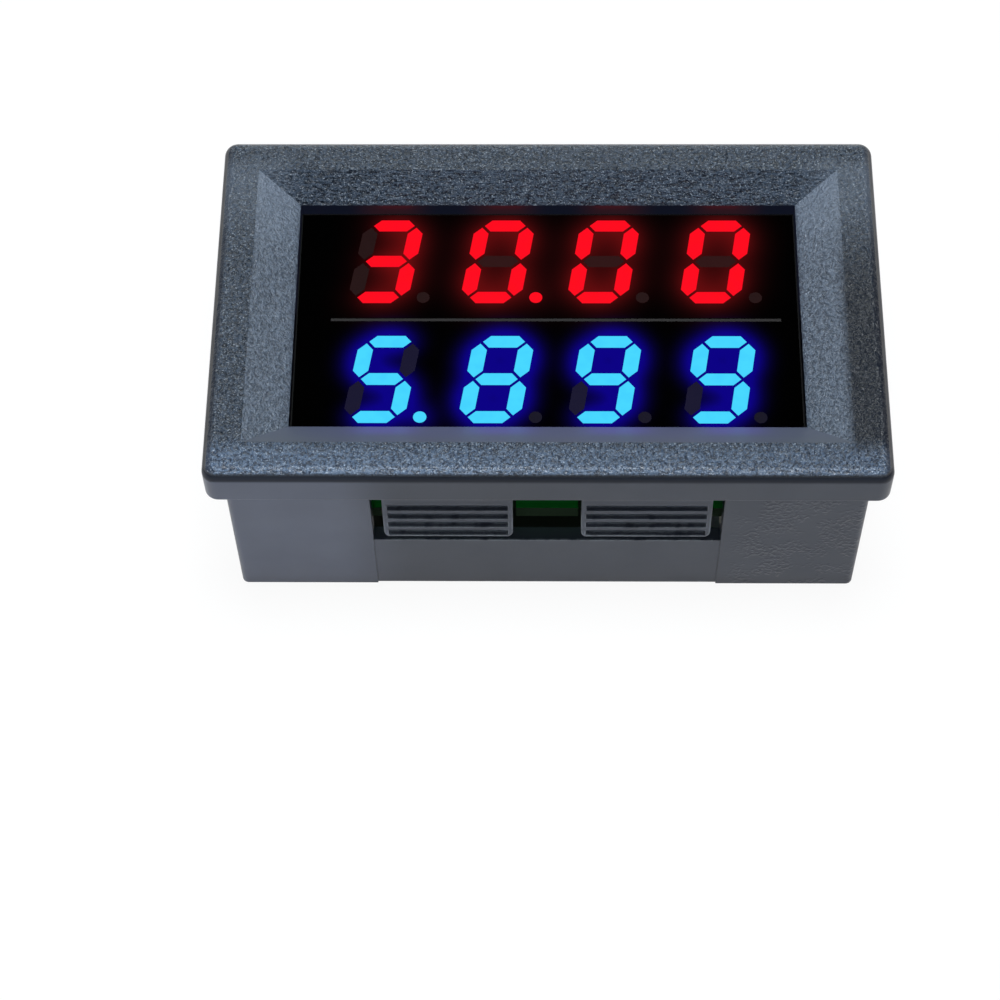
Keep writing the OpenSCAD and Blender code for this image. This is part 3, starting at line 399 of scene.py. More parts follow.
def sleeve_colour(s, m):
    """Clouded plain plastic, painted lighter on the left of the sleeve as painted light, with
    painted shade on the lower fillet of the bezel and on the lip, a lighter tone on the near
    bevel, and lighter edges on the tongues that are partly wear and partly painted highlight.
    """
    clouds = s.noise(0.16, detail=3.0)
    colour = s.mix(clouds, SLEEVE_DARK, SLEEVE_LIGHT)
    # Painted light: the left of the sleeve lighter
    colour = s.mix(1.0, colour, s.mix(m.left_sleeve, (1, 1, 1), LEFT_PAINTED_LIGHT), "MULTIPLY")
    # Painted shade on the lower fillet of the bezel
    colour = s.mix(s.both(m.under_fillet, SHADE_SHARE), colour, HOUSING_SHADE)
    # Painted shade on the lip round the window
    colour = s.mix(m.lip, colour, HOUSING_SHADE)
    colour = s.mix(m.near_bevel, colour, BEVEL_TONE)
    # Lighter edges on the tongues: partly wear, partly painted highlight
    wear_and_highlight = s.both(
        s.edges(*WEAR_AND_HIGHLIGHT_EDGES), s.step(s.noise(1.3, detail=3.0), 0.3, 0.55),
        m.tongue, s.step(s.axes[2], *WEAR_AND_HIGHLIGHT_Z, *WEAR_AND_HIGHLIGHT_SHARE),
    )
    return s.mix(wear_and_highlight, colour, EDGE_WEAR_AND_HIGHLIGHT)


# The digits' light painted on the housing as emission
BLUE_REACH = 3.4
BEVEL_GLOW = (0.012, 0.007, 0.058)
RIM_GLOW = (0.024, 0.006, 0.16)
LIP_BLUE_GLOW = (0.004, 0.005, 0.011)
LIP_RED_GLOW = (0.019, 0.0065, 0.009)
BEVEL_LOW = 0.3
BLUE_LOW = 0.4


def housing_glow(s, m, sizes):
    """The digits' light painted on the window as emission: blue on the near bevel, red on the far
    lip.
    """
    x, y, _ = s.axes
    across, along = s.size_of(x), s.size_of(y)
    turn = s.both(
        s.math("SUBTRACT", x, sizes["digit_x"]), 2.0 * math.pi / sizes["digit_pitch"]
    )
    by_digit = s.both(s.step(s.math("COSINE", turn), -1.0, 1.0), s.step(across, *LIT_X))
    at_rim = s.step(along, sizes["window_y"] + BLUE_REACH, sizes["window_y"])
    blue = s.both(
        m.near_bevel, s.step(at_rim, 0.0, 1.0, BEVEL_LOW, 1.0),
        s.step(across, *BLUE_X, BLUE_LOW, 1.0),
    )
    bevel = s.mix(s.both(by_digit, s.step(at_rim, 0.6, 1.0)), BEVEL_GLOW, RIM_GLOW)
    far_lip = s.both(m.lip, s.step(y, 0.0, 1.0))
    lip = s.mix(far_lip, (0, 0, 0), s.mix(by_digit, LIP_BLUE_GLOW, LIP_RED_GLOW))
    s.set(emission_color=s.mix(blue, lip, bevel), emission_strength=1.0)


PLAIN_GLOSS = 0.22
GRAIN_GLOSS = 0.2
NEAR_GLOSS = 0.14
EDGE_GLOSS = 0.08


def housing_plastic(sizes):
    """Blue-grey ABS: a spark-eroded grain on the bezel, plain polish on the sleeve, with painted
    light, shade and highlights in its colour and the digits' light painted on as emission.
    """
    s = Shader("housing_plastic")
    s.place()
    m = housing_masks(s, sizes)
    fine, height, flow = housing_relief(s, m)
    s.set(base_color=s.mix(m.grain, sleeve_colour(s, m), bezel_colour(s, m, height)))
    gloss = s.both(m.grain, s.total(GRAIN_GLOSS, s.both(m.near_strip, NEAR_GLOSS)))
    gloss = s.total(gloss, s.both(m.edge, m.grain, EDGE_GLOSS))
    s.set(specular_ior_level=s.total(PLAIN_GLOSS, gloss))
    s.set(roughness=s.between(
        m.grain, s.step(flow, *MIDDLE, 0.3, 0.38), s.step(fine, *MIDDLE, 0.28, 0.4)
    ))
    housing_glow(s, m, sizes)
    return s.material


SEAM_FLOOR = (-0.02, -0.06)


def display_black(face_z):
    """Black epoxy with a faint dust of lighter specks, and a grey floor in the seam."""
    s = Shader("display_black", specular_ior_level=0.12)
    s.place()
    grain = s.noise(9.0, detail=3.0, roughness=0.6)
    in_seam = s.step(s.axes[2], *around(face_z, SEAM_FLOOR))
    black = s.mix(grain, srgb(1, 1, 1), srgb(7, 7, 9))
    s.set(base_color=s.mix(in_seam, black, srgb(38, 36, 36)))
    s.set(roughness=s.step(grain, *MIDDLE, 0.5, 0.62))
    s.bump(grain, 0.004)
    return s.material


def display_film():
    """The black mask round the segments, with the lit segments' glow painted on it as emission.
    """
    s = Shader("display_film", specular_ior_level=0.0)
    grain = s.noise(9.0, detail=3.0, roughness=0.6)
    s.set(base_color=s.mix(grain, srgb(0, 0, 0), srgb(2, 2, 2)))
    s.set(roughness=s.step(grain, *MIDDLE, 0.48, 0.6))
    glow = s.add("Attribute", attribute_name="glow").outputs["Color"]
    s.set(emission_color=glow, emission_strength=1.0)
    s.bump(grain, 0.003)
    return s.material


def lit_guide(name, colour, edge_colour):
    """A lit segment: an even light with a slightly deeper tone in the resin's clouds."""
    s = Shader(name, specular_ior_level=0.03, roughness=0.45)
    clouds = s.noise(1.2, detail=2.0)
    s.set(base_color=s.mix(clouds, srgb(3, 3, 3), srgb(6, 6, 6)))
    s.set(emission_color=s.mix(s.step(clouds, 0.35, 0.75), colour, edge_colour))
    s.set(emission_strength=1.0)
    return s.material


def unlit_guide(name, glow):
    """An unlit segment: smoked resin with its lit neighbours' glow painted on as emission."""
    s = Shader(name, specular_ior_level=0.05, roughness=0.5)
    clouds = s.noise(1.6, detail=2.0)
    s.set(base_color=s.mix(clouds, srgb(12, 9, 9), srgb(17, 12, 12)))
    s.set(emission_color=glow, emission_strength=1.0)
    return s.material


def solder_mask(name, tone, dark_tone, edge_tone):
    """Glass-cloth board under a coat of solder mask, with darker rough edges."""
    s = Shader(name)
    s.place()
    weave = s.total(*(
        s.add("TexWave", {"Vector": s.place(), "Scale": 1.6}, bands_direction=axis).outputs[1]
        for axis in "XY"
    ))
    clouds = s.noise(0.4, detail=2.0)
    on_edge = s.step(s.size_of(s.facing[2]), 0.7, 0.4)
    s.set(base_color=s.mix(on_edge, s.mix(clouds, dark_tone, tone), edge_tone))
    s.set(roughness=s.step(on_edge, 0.0, 1.0, 0.32, 0.9))
    s.set(specular_ior_level=s.step(on_edge, 0.0, 1.0, 0.5, 0.05))
    s.bump(s.total(clouds, s.both(weave, 0.2)), 0.01)
    return s.material


def metal(name, tone, dark_tone, rough, scale, stretch=(1, 1, 1), depth=0.008):
    """Tinned or drawn metal with a clouded tone and fine marks."""
    s = Shader(name, metallic=1.0)
    marks = s.noise(scale, detail=4.0, roughness=0.65, vector=s.stretched(*stretch))
    s.set(base_color=s.mix(marks, dark_tone, tone))
    s.set(roughness=s.step(marks, *MIDDLE, rough - 0.08, rough + 0.1))
    s.bump(marks, depth)
    return s.material


def moulded(name, tone, dark_tone, rough, scale=4.0, depth=0.01, specular=0.45):
    """A plain moulded plastic with a fine grain and a clouded tone."""
    s = Shader(name, specular_ior_level=specular)
    grain = s.noise(scale, detail=3.0, roughness=0.6)
    clouds = s.noise(0.6, detail=2.0)
    s.set(base_color=s.mix(clouds, dark_tone, tone))
    s.set(roughness=s.step(grain, *MIDDLE, rough - 0.05, rough + 0.08))
    s.bump(grain, depth, round_edges=0.04)
    return s.material


def white_nylon():
    """The sockets' nylon, which lets some light in."""
    s = Shader("white_nylon", specular_ior_level=0.45, subsurface_weight=0.25,
               subsurface_scale=0.4 * MM)
    s.bsdf.inputs["Subsurface Radius"].default_value = (1.0, 0.9, 0.75)
    clouds = s.noise(0.5, detail=2.0)
    grain = s.noise(5.0, detail=2.0)
    s.set(base_color=s.mix(clouds, srgb(214, 213, 204), srgb(232, 231, 224)))
    s.set(roughness=s.step(grain, *MIDDLE, 0.4, 0.5))
    s.bump(grain, 0.008, round_edges=0.05)
    return s.material


STRIPE_EDGE = (0.75, 0.85)
STRIPE_END = (0.1, -0.1)


def can_metal(top_z, centre_y):
    """A drawn aluminium can with a fine turned finish and a dark stripe that marks one pole."""
    s = Shader("capacitor_can", metallic=1.0)
    s.place()
    fine = s.noise(3.0, detail=3.0, vector=s.stretched(0.4, 0.4, 6.0))
    stripe = s.both(
        s.step(s.axes[1], *around(centre_y, STRIPE_EDGE)),
        s.step(s.axes[2], *around(top_z, STRIPE_END)),
    )
    bare = s.mix(fine, srgb(178, 181, 186), srgb(205, 208, 212))
    s.set(base_color=s.mix(stripe, bare, srgb(30, 31, 36)))
    s.set(metallic=s.step(stripe, 0.4, 0.6, 1.0, 0.0))
    s.set(roughness=s.step(fine, *MIDDLE, 0.24, 0.36))
    s.bump(fine, 0.006)
    return s.material


def pad_metal(name, depth):
    """Hot-dipped tin that crowns and ripples a little."""
    s = Shader(name, metallic=1.0)
    ripple = s.noise(1.4, detail=2.0)
    s.set(base_color=s.mix(ripple, srgb(188, 190, 192), srgb(216, 217, 218)))
    s.set(roughness=s.step(s.noise(6.0), *MIDDLE, 0.34, 0.48))
    s.bump(ripple, depth)
    return s.material


def track_mask():
    """Solder mask over copper: a lighter green than over the bare board."""
    s = Shader("track_mask", specular_ior_level=0.5)
    clouds = s.noise(1.0, detail=2.0)
    s.set(base_color=s.mix(clouds, srgb(34, 158, 70), srgb(44, 174, 82)))
    s.set(roughness=s.step(s.noise(4.0), *MIDDLE, 0.26, 0.38))
    s.bump(clouds, 0.01)
    return s.material


def printed_ink():
    """White ink, thin in places."""
    s = Shader("printed_ink", specular_ior_level=0.4)
    thin = s.step(s.noise(5.0, detail=3.0), 0.35, 0.5)
    s.set(base_color=s.mix(thin, srgb(190, 196, 188), srgb(232, 233, 228)))
    s.set(roughness=s.step(thin, 0.0, 1.0, 0.5, 0.62))
    s.bump(thin, 0.004)
    return s.material


# ---- Display ----

MERGE_GRID = 1e-7  # Corners of one mesh that round to the same point of this grid are one
TOP_DEPTH = 1e-6


def solids(mesh):
    """The separate solids of a mesh: each as its faces and its corner positions."""
    parent = {}

    def root(key):
        while parent[key] != key:
            parent[key] = parent[parent[key]]
            key = parent[key]
        return key

    keys = [tuple(round(c / MERGE_GRID) for c in v.co) for v in mesh.vertices]
    for key in keys:
        parent[key] = key
    for polygon in mesh.polygons:
        first = root(keys[polygon.vertices[0]])
        for index in polygon.vertices[1:]:
            parent[root(keys[index])] = first
    groups = {}
    for polygon in mesh.polygons:
        groups.setdefault(root(keys[polygon.vertices[0]]), []).append(polygon.index)
    out = []
    for key in sorted(groups):
        corners = {i for p in groups[key] for i in mesh.polygons[p].vertices}
        out.append((groups[key], [mesh.vertices[i].co.copy() for i in sorted(corners)]))
    return out


def outline_of(corners):
    """The outline of a convex solid's top face, anticlockwise."""
    top = max(c.z for c in corners)
    points = sorted({(round(c.x, 8), round(c.y, 8)) for c in corners if c.z > top - TOP_DEPTH})
    middle = np.mean(points, axis=0)
    return sorted(points, key=lambda p: math.atan2(p[1] - middle[1], p[0] - middle[0]))


def segment_letters(outlines):
    """The letter from a to g, or p for the point, of each outline of one digit."""
    boxes = [(np.min(o, axis=0), np.max(o, axis=0)) for o in outlines]
    sizes = [high - low for low, high in boxes]
    middles = [(low + high) / 2 for low, high in boxes]
    point = min(range(len(outlines)), key=lambda i: sizes[i][0] * sizes[i][1])
    level = [i for i in range(len(outlines)) if i != point and sizes[i][0] > sizes[i][1]]
    upright = [i for i in range(len(outlines)) if i != point and i not in level]
    middle = np.mean([middles[i] for i in level], axis=0)
    letters = {point: "p"}
    letters.update(zip(sorted(level, key=lambda i: -middles[i][1]), "agd"))
    for i in upright:
        right, high = middles[i] > middle
        letters[i] = "ecfb"[2 * int(high) + int(right)]
    return [letters[i] for i in range(len(outlines))]


def inside(outline, x, y):
    """Where the points lie inside a convex, anticlockwise outline."""
    result = np.ones(np.shape(x), bool)
    for (x0, y0), (x1, y1) in zip(outline, outline[1:] + outline[:1]):
        result &= (x1 - x0) * (y - y0) - (y1 - y0) * (x - x0) >= 0
    return result


class Glow:
    """The light that spreads round one row's lit segments, on a grid over the display."""

    STEP = 0.1 * MM

    def __init__(self, half_width, half_height, outlines):
        self.x = np.arange(-half_width, half_width, self.STEP)
        self.y = np.arange(-half_height, half_height, self.STEP)
        grid_x, grid_y = np.meshgrid(self.x, self.y)
        self.mask = np.zeros(grid_x.shape)
        for outline in outlines:
            self.mask[inside(outline, grid_x, grid_y)] = 1.0

    def spread(self, radius):
        """The mask blurred by a bell curve of this radius."""
        def bell(axis):
            table = np.exp(-((axis[:, None] - axis[None]) ** 2) / (2 * radius**2))
            return table * self.STEP / (radius * math.sqrt(2 * math.pi))
        return bell(self.y) @ self.mask @ bell(self.x).T

    def sample(self, field, x, y):
        """A field's value at any places, between those at the nearest grid points."""
        column = np.clip((x - self.x[0]) / self.STEP, 0, len(self.x) - 1.001)
        row = np.clip((y - self.y[0]) / self.STEP, 0, len(self.y) - 1.001)
        c, r = column.astype(int), row.astype(int)
        a, b = column - c, row - r
        low = field[r, c] * (1 - a) + field[r, c + 1] * a
        high = field[r + 1, c] * (1 - a) + field[r + 1, c + 1] * a
        return low * (1 - b) + high * b


class RowLight:
    """The glow of one row as a colour at any point of the display's face.

    spreads are the blurs that add up, each a radius and a level; curve turns the sum into
    an 8-bit sRGB level; tint is the share of that level in each channel.
    """

    def __init__(self, glow, tint, curve, spreads):
        self.glow, self.tint, self.curve = glow, tint, curve
        self.field = sum(glow.spread(radius) * level for radius, level in spreads)

    def colour(self, x, y, share=1.0):
        """The linear colour at these places, with a share of the full level."""
        level = np.interp(self.glow.sample(self.field, x, y), *self.curve) * share
        return np.stack([linear(level * t) for t in self.tint], -1)


def dense(outline, step):
    """An outline with extra points, so that no side is longer than a step."""
    points = []
    for a, b in zip(outline, outline[1:] + outline[:1]):
        count = max(1, math.ceil(math.dist(a, b) / step))
        points += [
            (a[0] + (b[0] - a[0]) * i / count, a[1] + (b[1] - a[1]) * i / count)
            for i in range(count)
        ]
    return points


RED_GLOW = (1.0, 0.12, 0.14)
RED_CURVE = ((0, 255), (0, 255))
RED_SPREADS = ((1.2 * MM, 233), (0.5 * MM, 28))
BLUE_GLOW = (0.09, 0.015, 1.0)
BLUE_CURVE = ((0, 0.03, 0.1, 0.15, 0.2, 0.25, 0.3, 1), (0, 26, 64, 86, 104, 118, 132, 134))
BLUE_SPREADS = ((0.8 * MM, 1.0),)
UNLIT_SHARE = 0.85


def dress_display():
    """Gives each segment its lit or unlit finish, and lays the black mask round them."""
    half_x, half_y = window_half()
    rows = {"voltage": VOLTAGE_READING, "current": CURRENT_READING}
    digits, outlines, lit = [], [], {"voltage": [], "current": []}
    for row, reading in rows.items():
        for place, letters in enumerate(reading):
            node = NODES[f"{row}_digit_{place + 1}"]
            parts = solids(node.data)
            shapes = [outline_of(corners) for _, corners in parts]
            names = segment_letters(shapes)
            digits.append((row, node, letters, parts, shapes, names))
            outlines += shapes
            lit[row] += [shape for shape, name in zip(shapes, names) if name in letters]
    size = (half_x + MM, half_y + MM)
    lights = {
        "voltage": RowLight(Glow(*size, lit["voltage"]), RED_GLOW, RED_CURVE, RED_SPREADS),
        "current": RowLight(Glow(*size, lit["current"]), BLUE_GLOW, BLUE_CURVE, BLUE_SPREADS),
    }
    finishes = {
        "voltage": lit_guide("red_light_guides", srgb(255, 0, 28), srgb(255, 0, 24)),
        "current": lit_guide("blue_light_guides", srgb(70, 216, 255), srgb(66, 210, 255)),
    }
    unlit = {}
    for row, node, letters, parts, shapes, names in digits:
        materials = node.data.materials
        materials.clear()
        materials.append(finishes[row])
        for (faces, _), shape, name in zip(parts, shapes, names):
            if name in letters:
                index = 0
            else:
                x, y = np.mean(shape, axis=0)[:, None]
                # The unlit segment's painted glow from the lit ones
                glow = sum(lights[r].colour(x, y, UNLIT_SHARE)[0] for r in rows)
                key = tuple(round(float(c), 2) for c in glow)
                if (row, key) not in unlit:
                    unlit[row, key] = unlit_guide(f"{row}_unlit_{len(unlit) + 1}", key)
                if unlit[row, key].name not in materials:
                    materials.append(unlit[row, key])
                index = materials.find(unlit[row, key].name)
            for face in faces:
                node.data.polygons[face].material_index = index
    lay_film(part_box("display_shell")[1].z, half_x, half_y, outlines, lights)


def window_half():
    """Half the width and height of the display's window, from the record's opening."""
    openings = frame["record"]["physics"]["openings"]
    window = next(o for o in openings if o["name"] == "display_window")
    return window["box_m"][1][:2]


SEAM_DEPTHS = (-0.2, -0.02)


def seam_outline(face_z):
    """The outline of the seam between the rows, from the floor of its groove."""
    low, high = (face_z + depth * MM for depth in SEAM_DEPTHS)
    floor = [v.co for v in NODES["display_shell"].data.vertices if low < v.co.z < high]
    x, y = [p.x for p in floor], [p.y for p in floor]
    return [(min(x), min(y)), (max(x), min(y)), (max(x), max(y)), (min(x), max(y))]


FILM_STEP = 0.25 * MM
FILM_LIFT = 0.012 * MM
FILM_THICKNESS = 0.0096 * MM
HOLE_MARGIN = 1.06


def lay_film(face_z, half_x, half_y, outlines, lights):
    """The thin mask over the display, open at each segment, with the glow stored on it."""
    holes = outlines + [seam_outline(face_z)]
    points, loops = [], []
    rim = [(-half_x, -half_y), (half_x, -half_y), (half_x, half_y), (-half_x, half_y)]
    for outline in [rim] + holes:
        ring = dense(outline, FILM_STEP)
        loops.append(list(range(len(points), len(points) + len(ring))))
        points += ring
    grid_x = np.arange(-half_x + FILM_STEP, half_x - FILM_STEP / 2, FILM_STEP)
    grid_y = np.arange(-half_y + FILM_STEP, half_y - FILM_STEP / 2, FILM_STEP)
    mesh_x, mesh_y = (g.ravel() for g in np.meshgrid(grid_x, grid_y))
    keep = np.ones(mesh_x.shape, bool)
    for hole in holes:
        middle = np.mean(hole, axis=0)
        grown = [tuple(middle + (np.array(p) - middle) * HOLE_MARGIN) for p in hole]
        keep &= ~inside(grown, mesh_x, mesh_y)
    points += list(zip(mesh_x[keep], mesh_y[keep]))
    edges = [(a, b) for loop in loops for a, b in zip(loop, loop[1:] + loop[:1])]
    scaled = [Vector((x / MM, y / MM)) for x, y in points]
    corners, _, faces, _, _, _ = delaunay_2d_cdt(scaled, edges, [], 0, 1e-5)
    corners = np.array(corners) * MM
    middles = corners[np.array(faces)].mean(axis=1)
    open_face = np.zeros(len(faces), bool)
    for hole in holes:
        open_face |= inside(hole, middles[:, 0], middles[:, 1])
    faces = [f for f, is_open in zip(faces, open_face) if not is_open]
    mesh = bpy.data.meshes.new("display_film")
    mesh.from_pydata([(x, y, face_z + FILM_LIFT) for x, y in corners], [], faces)
    # The glow of the lit segments, painted on the film as emission
    glow = mesh.attributes.new("glow", "FLOAT_COLOR", "POINT")
    colours = np.ones((len(corners), 4), np.float32)
    x, y = corners.T[:2]
    colours[:, :3] = sum(light.colour(x, y) for light in lights.values())
    glow.data.foreach_set("color", colours.ravel())
    mesh.materials.append(display_film())
    film = bpy.data.objects.new("display_film", mesh)
    bpy.context.scene.collection.objects.link(film)
    thickness = film.modifiers.new("thickness", "SOLIDIFY")
    thickness.thickness = FILM_THICKNESS
    thickness.offset = -1
    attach(film, BODY)


# ---- Carried-over pieces ----

# Places on the housing, in millimetres
GRAIN_DOWN = 1.55
SLEEVE_Z = 14.6
TONGUE_OUT = 0.9
TONGUE_UP = 4.6
TONGUES_X = 12.0
WINDOW_GAP = 0.1


def housing_sizes():
    """The places on the housing where its finish changes, in millimetres."""
    low, high = (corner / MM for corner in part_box("display_shell"))
    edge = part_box("housing")[1] / MM
    half_x, half_y = window_half()
    digits = [middle_of(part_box(f"current_digit_{place}"))[0] / MM for place in (1, 2)]
    return {
        "digit_x": digits[0],
        "digit_pitch": digits[1] - digits[0],
        "face_z": high.z,
        "sleeve_z": SLEEVE_Z,
        "grain_z": edge.z - GRAIN_DOWN,
        "edge_x": edge.x,
        "edge_y": edge.y,
        "tongue_y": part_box("circuit_board")[1].y / MM + TONGUE_OUT,
        "tongue_z": low.z + TONGUE_UP,
        "tongues_x": TONGUES_X,
        "window_x": half_x / MM + WINDOW_GAP,
        "window_y": half_y / MM + WINDOW_GAP,
    }


def finish_nodes():
    """Gives every carried-over piece its material, by the record's slot for it."""
    sizes = housing_sizes()
    can_low, can_high = (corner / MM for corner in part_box("filter_capacitor_can"))
    made = {
        "housing_plastic": housing_plastic(sizes),
        "display_black": display_black(sizes["face_z"]),
        "carrier_board": solder_mask(
            "carrier_board", srgb(22, 40, 30), srgb(16, 28, 22), srgb(20, 24, 20)
        ),
        "green_board": solder_mask(
            "green_board", srgb(10, 122, 42), srgb(7, 104, 34), srgb(22, 34, 22)
        ),
        "tinned_metal": metal(
            "tinned_metal", srgb(224, 226, 228), srgb(190, 192, 196), 0.42, 2.0, depth=0.002
        ),
        "solder": metal(
            "solder", srgb(210, 212, 214), srgb(176, 178, 182), 0.42, 2.5, depth=0.003
        ),
        "white_nylon": white_nylon(),
        "manganin": metal(
            "manganin", srgb(190, 142, 96), srgb(150, 106, 66), 0.36, 3.0, (4, 0.5, 4)
        ),
        "trimmer_plastic": moulded("trimmer_plastic", srgb(34, 66, 120), srgb(28, 54, 102), 0.4),
        "trimmer_rotor_metal": metal(
            "trimmer_rotor_metal", srgb(226, 226, 224), srgb(198, 198, 196), 0.4, 2.0, (1, 6, 1),
            depth=0.002,
        ),
        "chip_plastic": moulded(
            "chip_plastic", srgb(27, 28, 30), srgb(20, 21, 23), 0.55, scale=7.0, depth=0.012,
            specular=0.35,
        ),
        "capacitor_can": can_metal(can_low.z + 0.2, (can_low.y + can_high.y) / 2),
        "capacitor_base": moulded("capacitor_base", srgb(30, 31, 34), srgb(22, 23, 26), 0.5),
        "resistor_film": moulded("resistor_film", srgb(26, 26, 30), srgb(18, 18, 21), 0.35),
        "capacitor_ceramic": moulded(
            "capacitor_ceramic", srgb(176, 140, 100), srgb(156, 120, 82), 0.45
        ),
    }
    for node in NODES.values():
        for slot in node.material_slots:
            kind = slot.material.name.split(".")[0] if slot.material else None
            if kind in made:
                slot.material = made[kind]


# ---- Tracks, pads and printed outlines on the board's rear face ----

PLATE_SINK = 0.02 * MM
LAYERS = 5
LAYER_STEP = 0.003 * MM
DISC_CORNERS = 24
FOOT_REACH = 0.1 * MM


def offset(points, reach, closed):
    """The points moved to the left of their path by a distance, with sharp corners."""
    moved = []
    for i, point in enumerate(points):
        before = points[i - 1] if closed or i else None
        after = points[(i + 1) % len(points)] if closed or i + 1 < len(points) else None
        normals = [
            Vector((a[1] - b[1], b[0] - a[0])).normalized()
            for a, b in ((before, point), (point, after))
            if a is not None and b is not None
        ]
        middle = (normals[0] + normals[-1]).normalized()
        moved.append(Vector(point) + middle * (reach / middle.dot(normals[0])))
    return moved


class Plates:
    """Thin plates on the board's rear face, gathered into one piece."""

    def __init__(self, thickness):
        rear_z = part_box("circuit_board")[0].z
        self.levels = (rear_z - thickness, rear_z + PLATE_SINK)
        self.points, self.faces = [], []
        self.laid = 0

    def next_levels(self):
        """The levels of the next plate, which overlaps its neighbours in another plane."""
        self.laid = (self.laid + 1) % LAYERS
        return [z - self.laid * LAYER_STEP for z in self.levels]

    def plate(self, outline):
        """A plate with this outline."""
        base, count = len(self.points), len(outline)
        for z in self.next_levels():
            self.points += [(x, y, z) for x, y in outline]
        self.faces += [
            tuple(range(base, base + count)), tuple(range(base + count, base + 2 * count))
        ]
        for i in range(count):
            after = (i + 1) % count
            self.faces.append((base + i, base + after, base + count + after, base + count + i))

    def rectangle(self, low, high, grow):
        """A plate over a box, larger than it by a margin."""
        x0, y0, x1, y1 = low[0] - grow, low[1] - grow, high[0] + grow, high[1] + grow
        self.plate([(x0, y0), (x1, y0), (x1, y1), (x0, y1)])

    def disc(self, middle, radius):
        turns = [2 * math.pi * i / DISC_CORNERS for i in range(DISC_CORNERS)]
        self.plate([
            (middle[0] + radius * math.cos(turn), middle[1] + radius * math.sin(turn))
            for turn in turns
        ])

    def band(self, points, width, closed=False):
        """A track of this width along the points."""
        base, count = len(self.points), len(points)
        levels = self.next_levels()
        sides = [offset(points, reach, closed) for reach in (width / 2, -width / 2)]
        for left, right in zip(*sides):
            for z in levels:
                self.points += [(left.x, left.y, z), (right.x, right.y, z)]
        for i in range(count if closed else count - 1):
            a, b = base + 4 * i, base + 4 * ((i + 1) % count)
            self.faces += [
                (a, b, b + 1, a + 1), (a + 2, b + 2, b + 3, a + 3),
                (a, b, b + 2, a + 2), (a + 1, b + 1, b + 3, a + 3),
            ]
        if not closed:
            for end in (base, base + 4 * (count - 1)):
                self.faces.append((end, end + 1, end + 3, end + 2))

    def build(self, name, material):
        """Makes the piece and puts it on the meter."""
        mesh = bpy.data.meshes.new(name)
        mesh.from_pydata(self.points, [], self.faces)
        work = bmesh.new()
        work.from_mesh(mesh)
        bmesh.ops.recalc_face_normals(work, faces=work.faces)
        work.to_mesh(mesh)
        work.free()
        mesh.materials.append(material)
        piece = bpy.data.objects.new(name, mesh)
        bpy.context.scene.collection.objects.link(piece)
        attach(piece, BODY)


def feet(node):
    """The footprint of each solid of a node where it meets the board, from left to right."""
    rear_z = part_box("circuit_board")[0].z
    out = []
    for _, corners in solids(NODES[node].data):
        foot = [c for c in corners if abs(c.z - rear_z) < FOOT_REACH] or corners
        low = [min(c[axis] for c in foot) for axis in (0, 1)]
        high = [max(c[axis] for c in foot) for axis in (0, 1)]
        out.append((low, high))
    return sorted(out)


def middle_of(box):
    """The middle of a box, from its two corners."""
    return tuple((a + b) / 2 for a, b in zip(*box))


def row_of(node, far):
    """The middles of a node's feet in its far or near row, from left to right."""
    low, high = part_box(node)
    middle_y = (low.y + high.y) / 2
    return [m for m in map(middle_of, feet(node)) if (m[1] > middle_y) == far]


PAD_THICKNESS = 0.04 * MM
PAD_MARGIN = 0.14 * MM
PIN_PAD_R = 0.88 * MM
SURFACE_LEADS = (
    "chip_resistor_ends", "chip_capacitor_ends", "microcontroller_leads",
    "display_driver_leads", "op_amp_leads", "trimmer_terminals", "voltage_regulator_tabs",
    "protection_diode_tabs", "filter_capacitor_tabs",
)


def lay_pads():
    """A tinned pad under each lead, and round each of the display's pins."""
    pads = Plates(PAD_THICKNESS)
    for node in SURFACE_LEADS:
        for low, high in feet(node):
            pads.rectangle(low, high, PAD_MARGIN)
    for far in (False, True):
        for place in row_of("display_solder", far):
            pads.disc(place, PIN_PAD_R)
    pads.build("board_pads", pad_metal("pad_tin", 0.0048))


TRACK_THICKNESS = 0.025 * MM
TRACK_W = 0.28 * MM
TRACK_PITCH = 3 * TRACK_W
POWER_W = 1.1 * MM
SUPPLY_RISE = 2 * MM
FAN_OUT = 0.3
FAN_IN = 0.2


def fan(plates, starts, ends):
    """Tracks from each start straight out, across and straight in to its end."""
    for start, end in zip(starts, ends):
        rise = end[1] - start[1]
        out, back = (start[0], start[1] + FAN_OUT * rise), (end[0], end[1] - FAN_IN * rise)
        plates.band([start, out, back, end], TRACK_W)


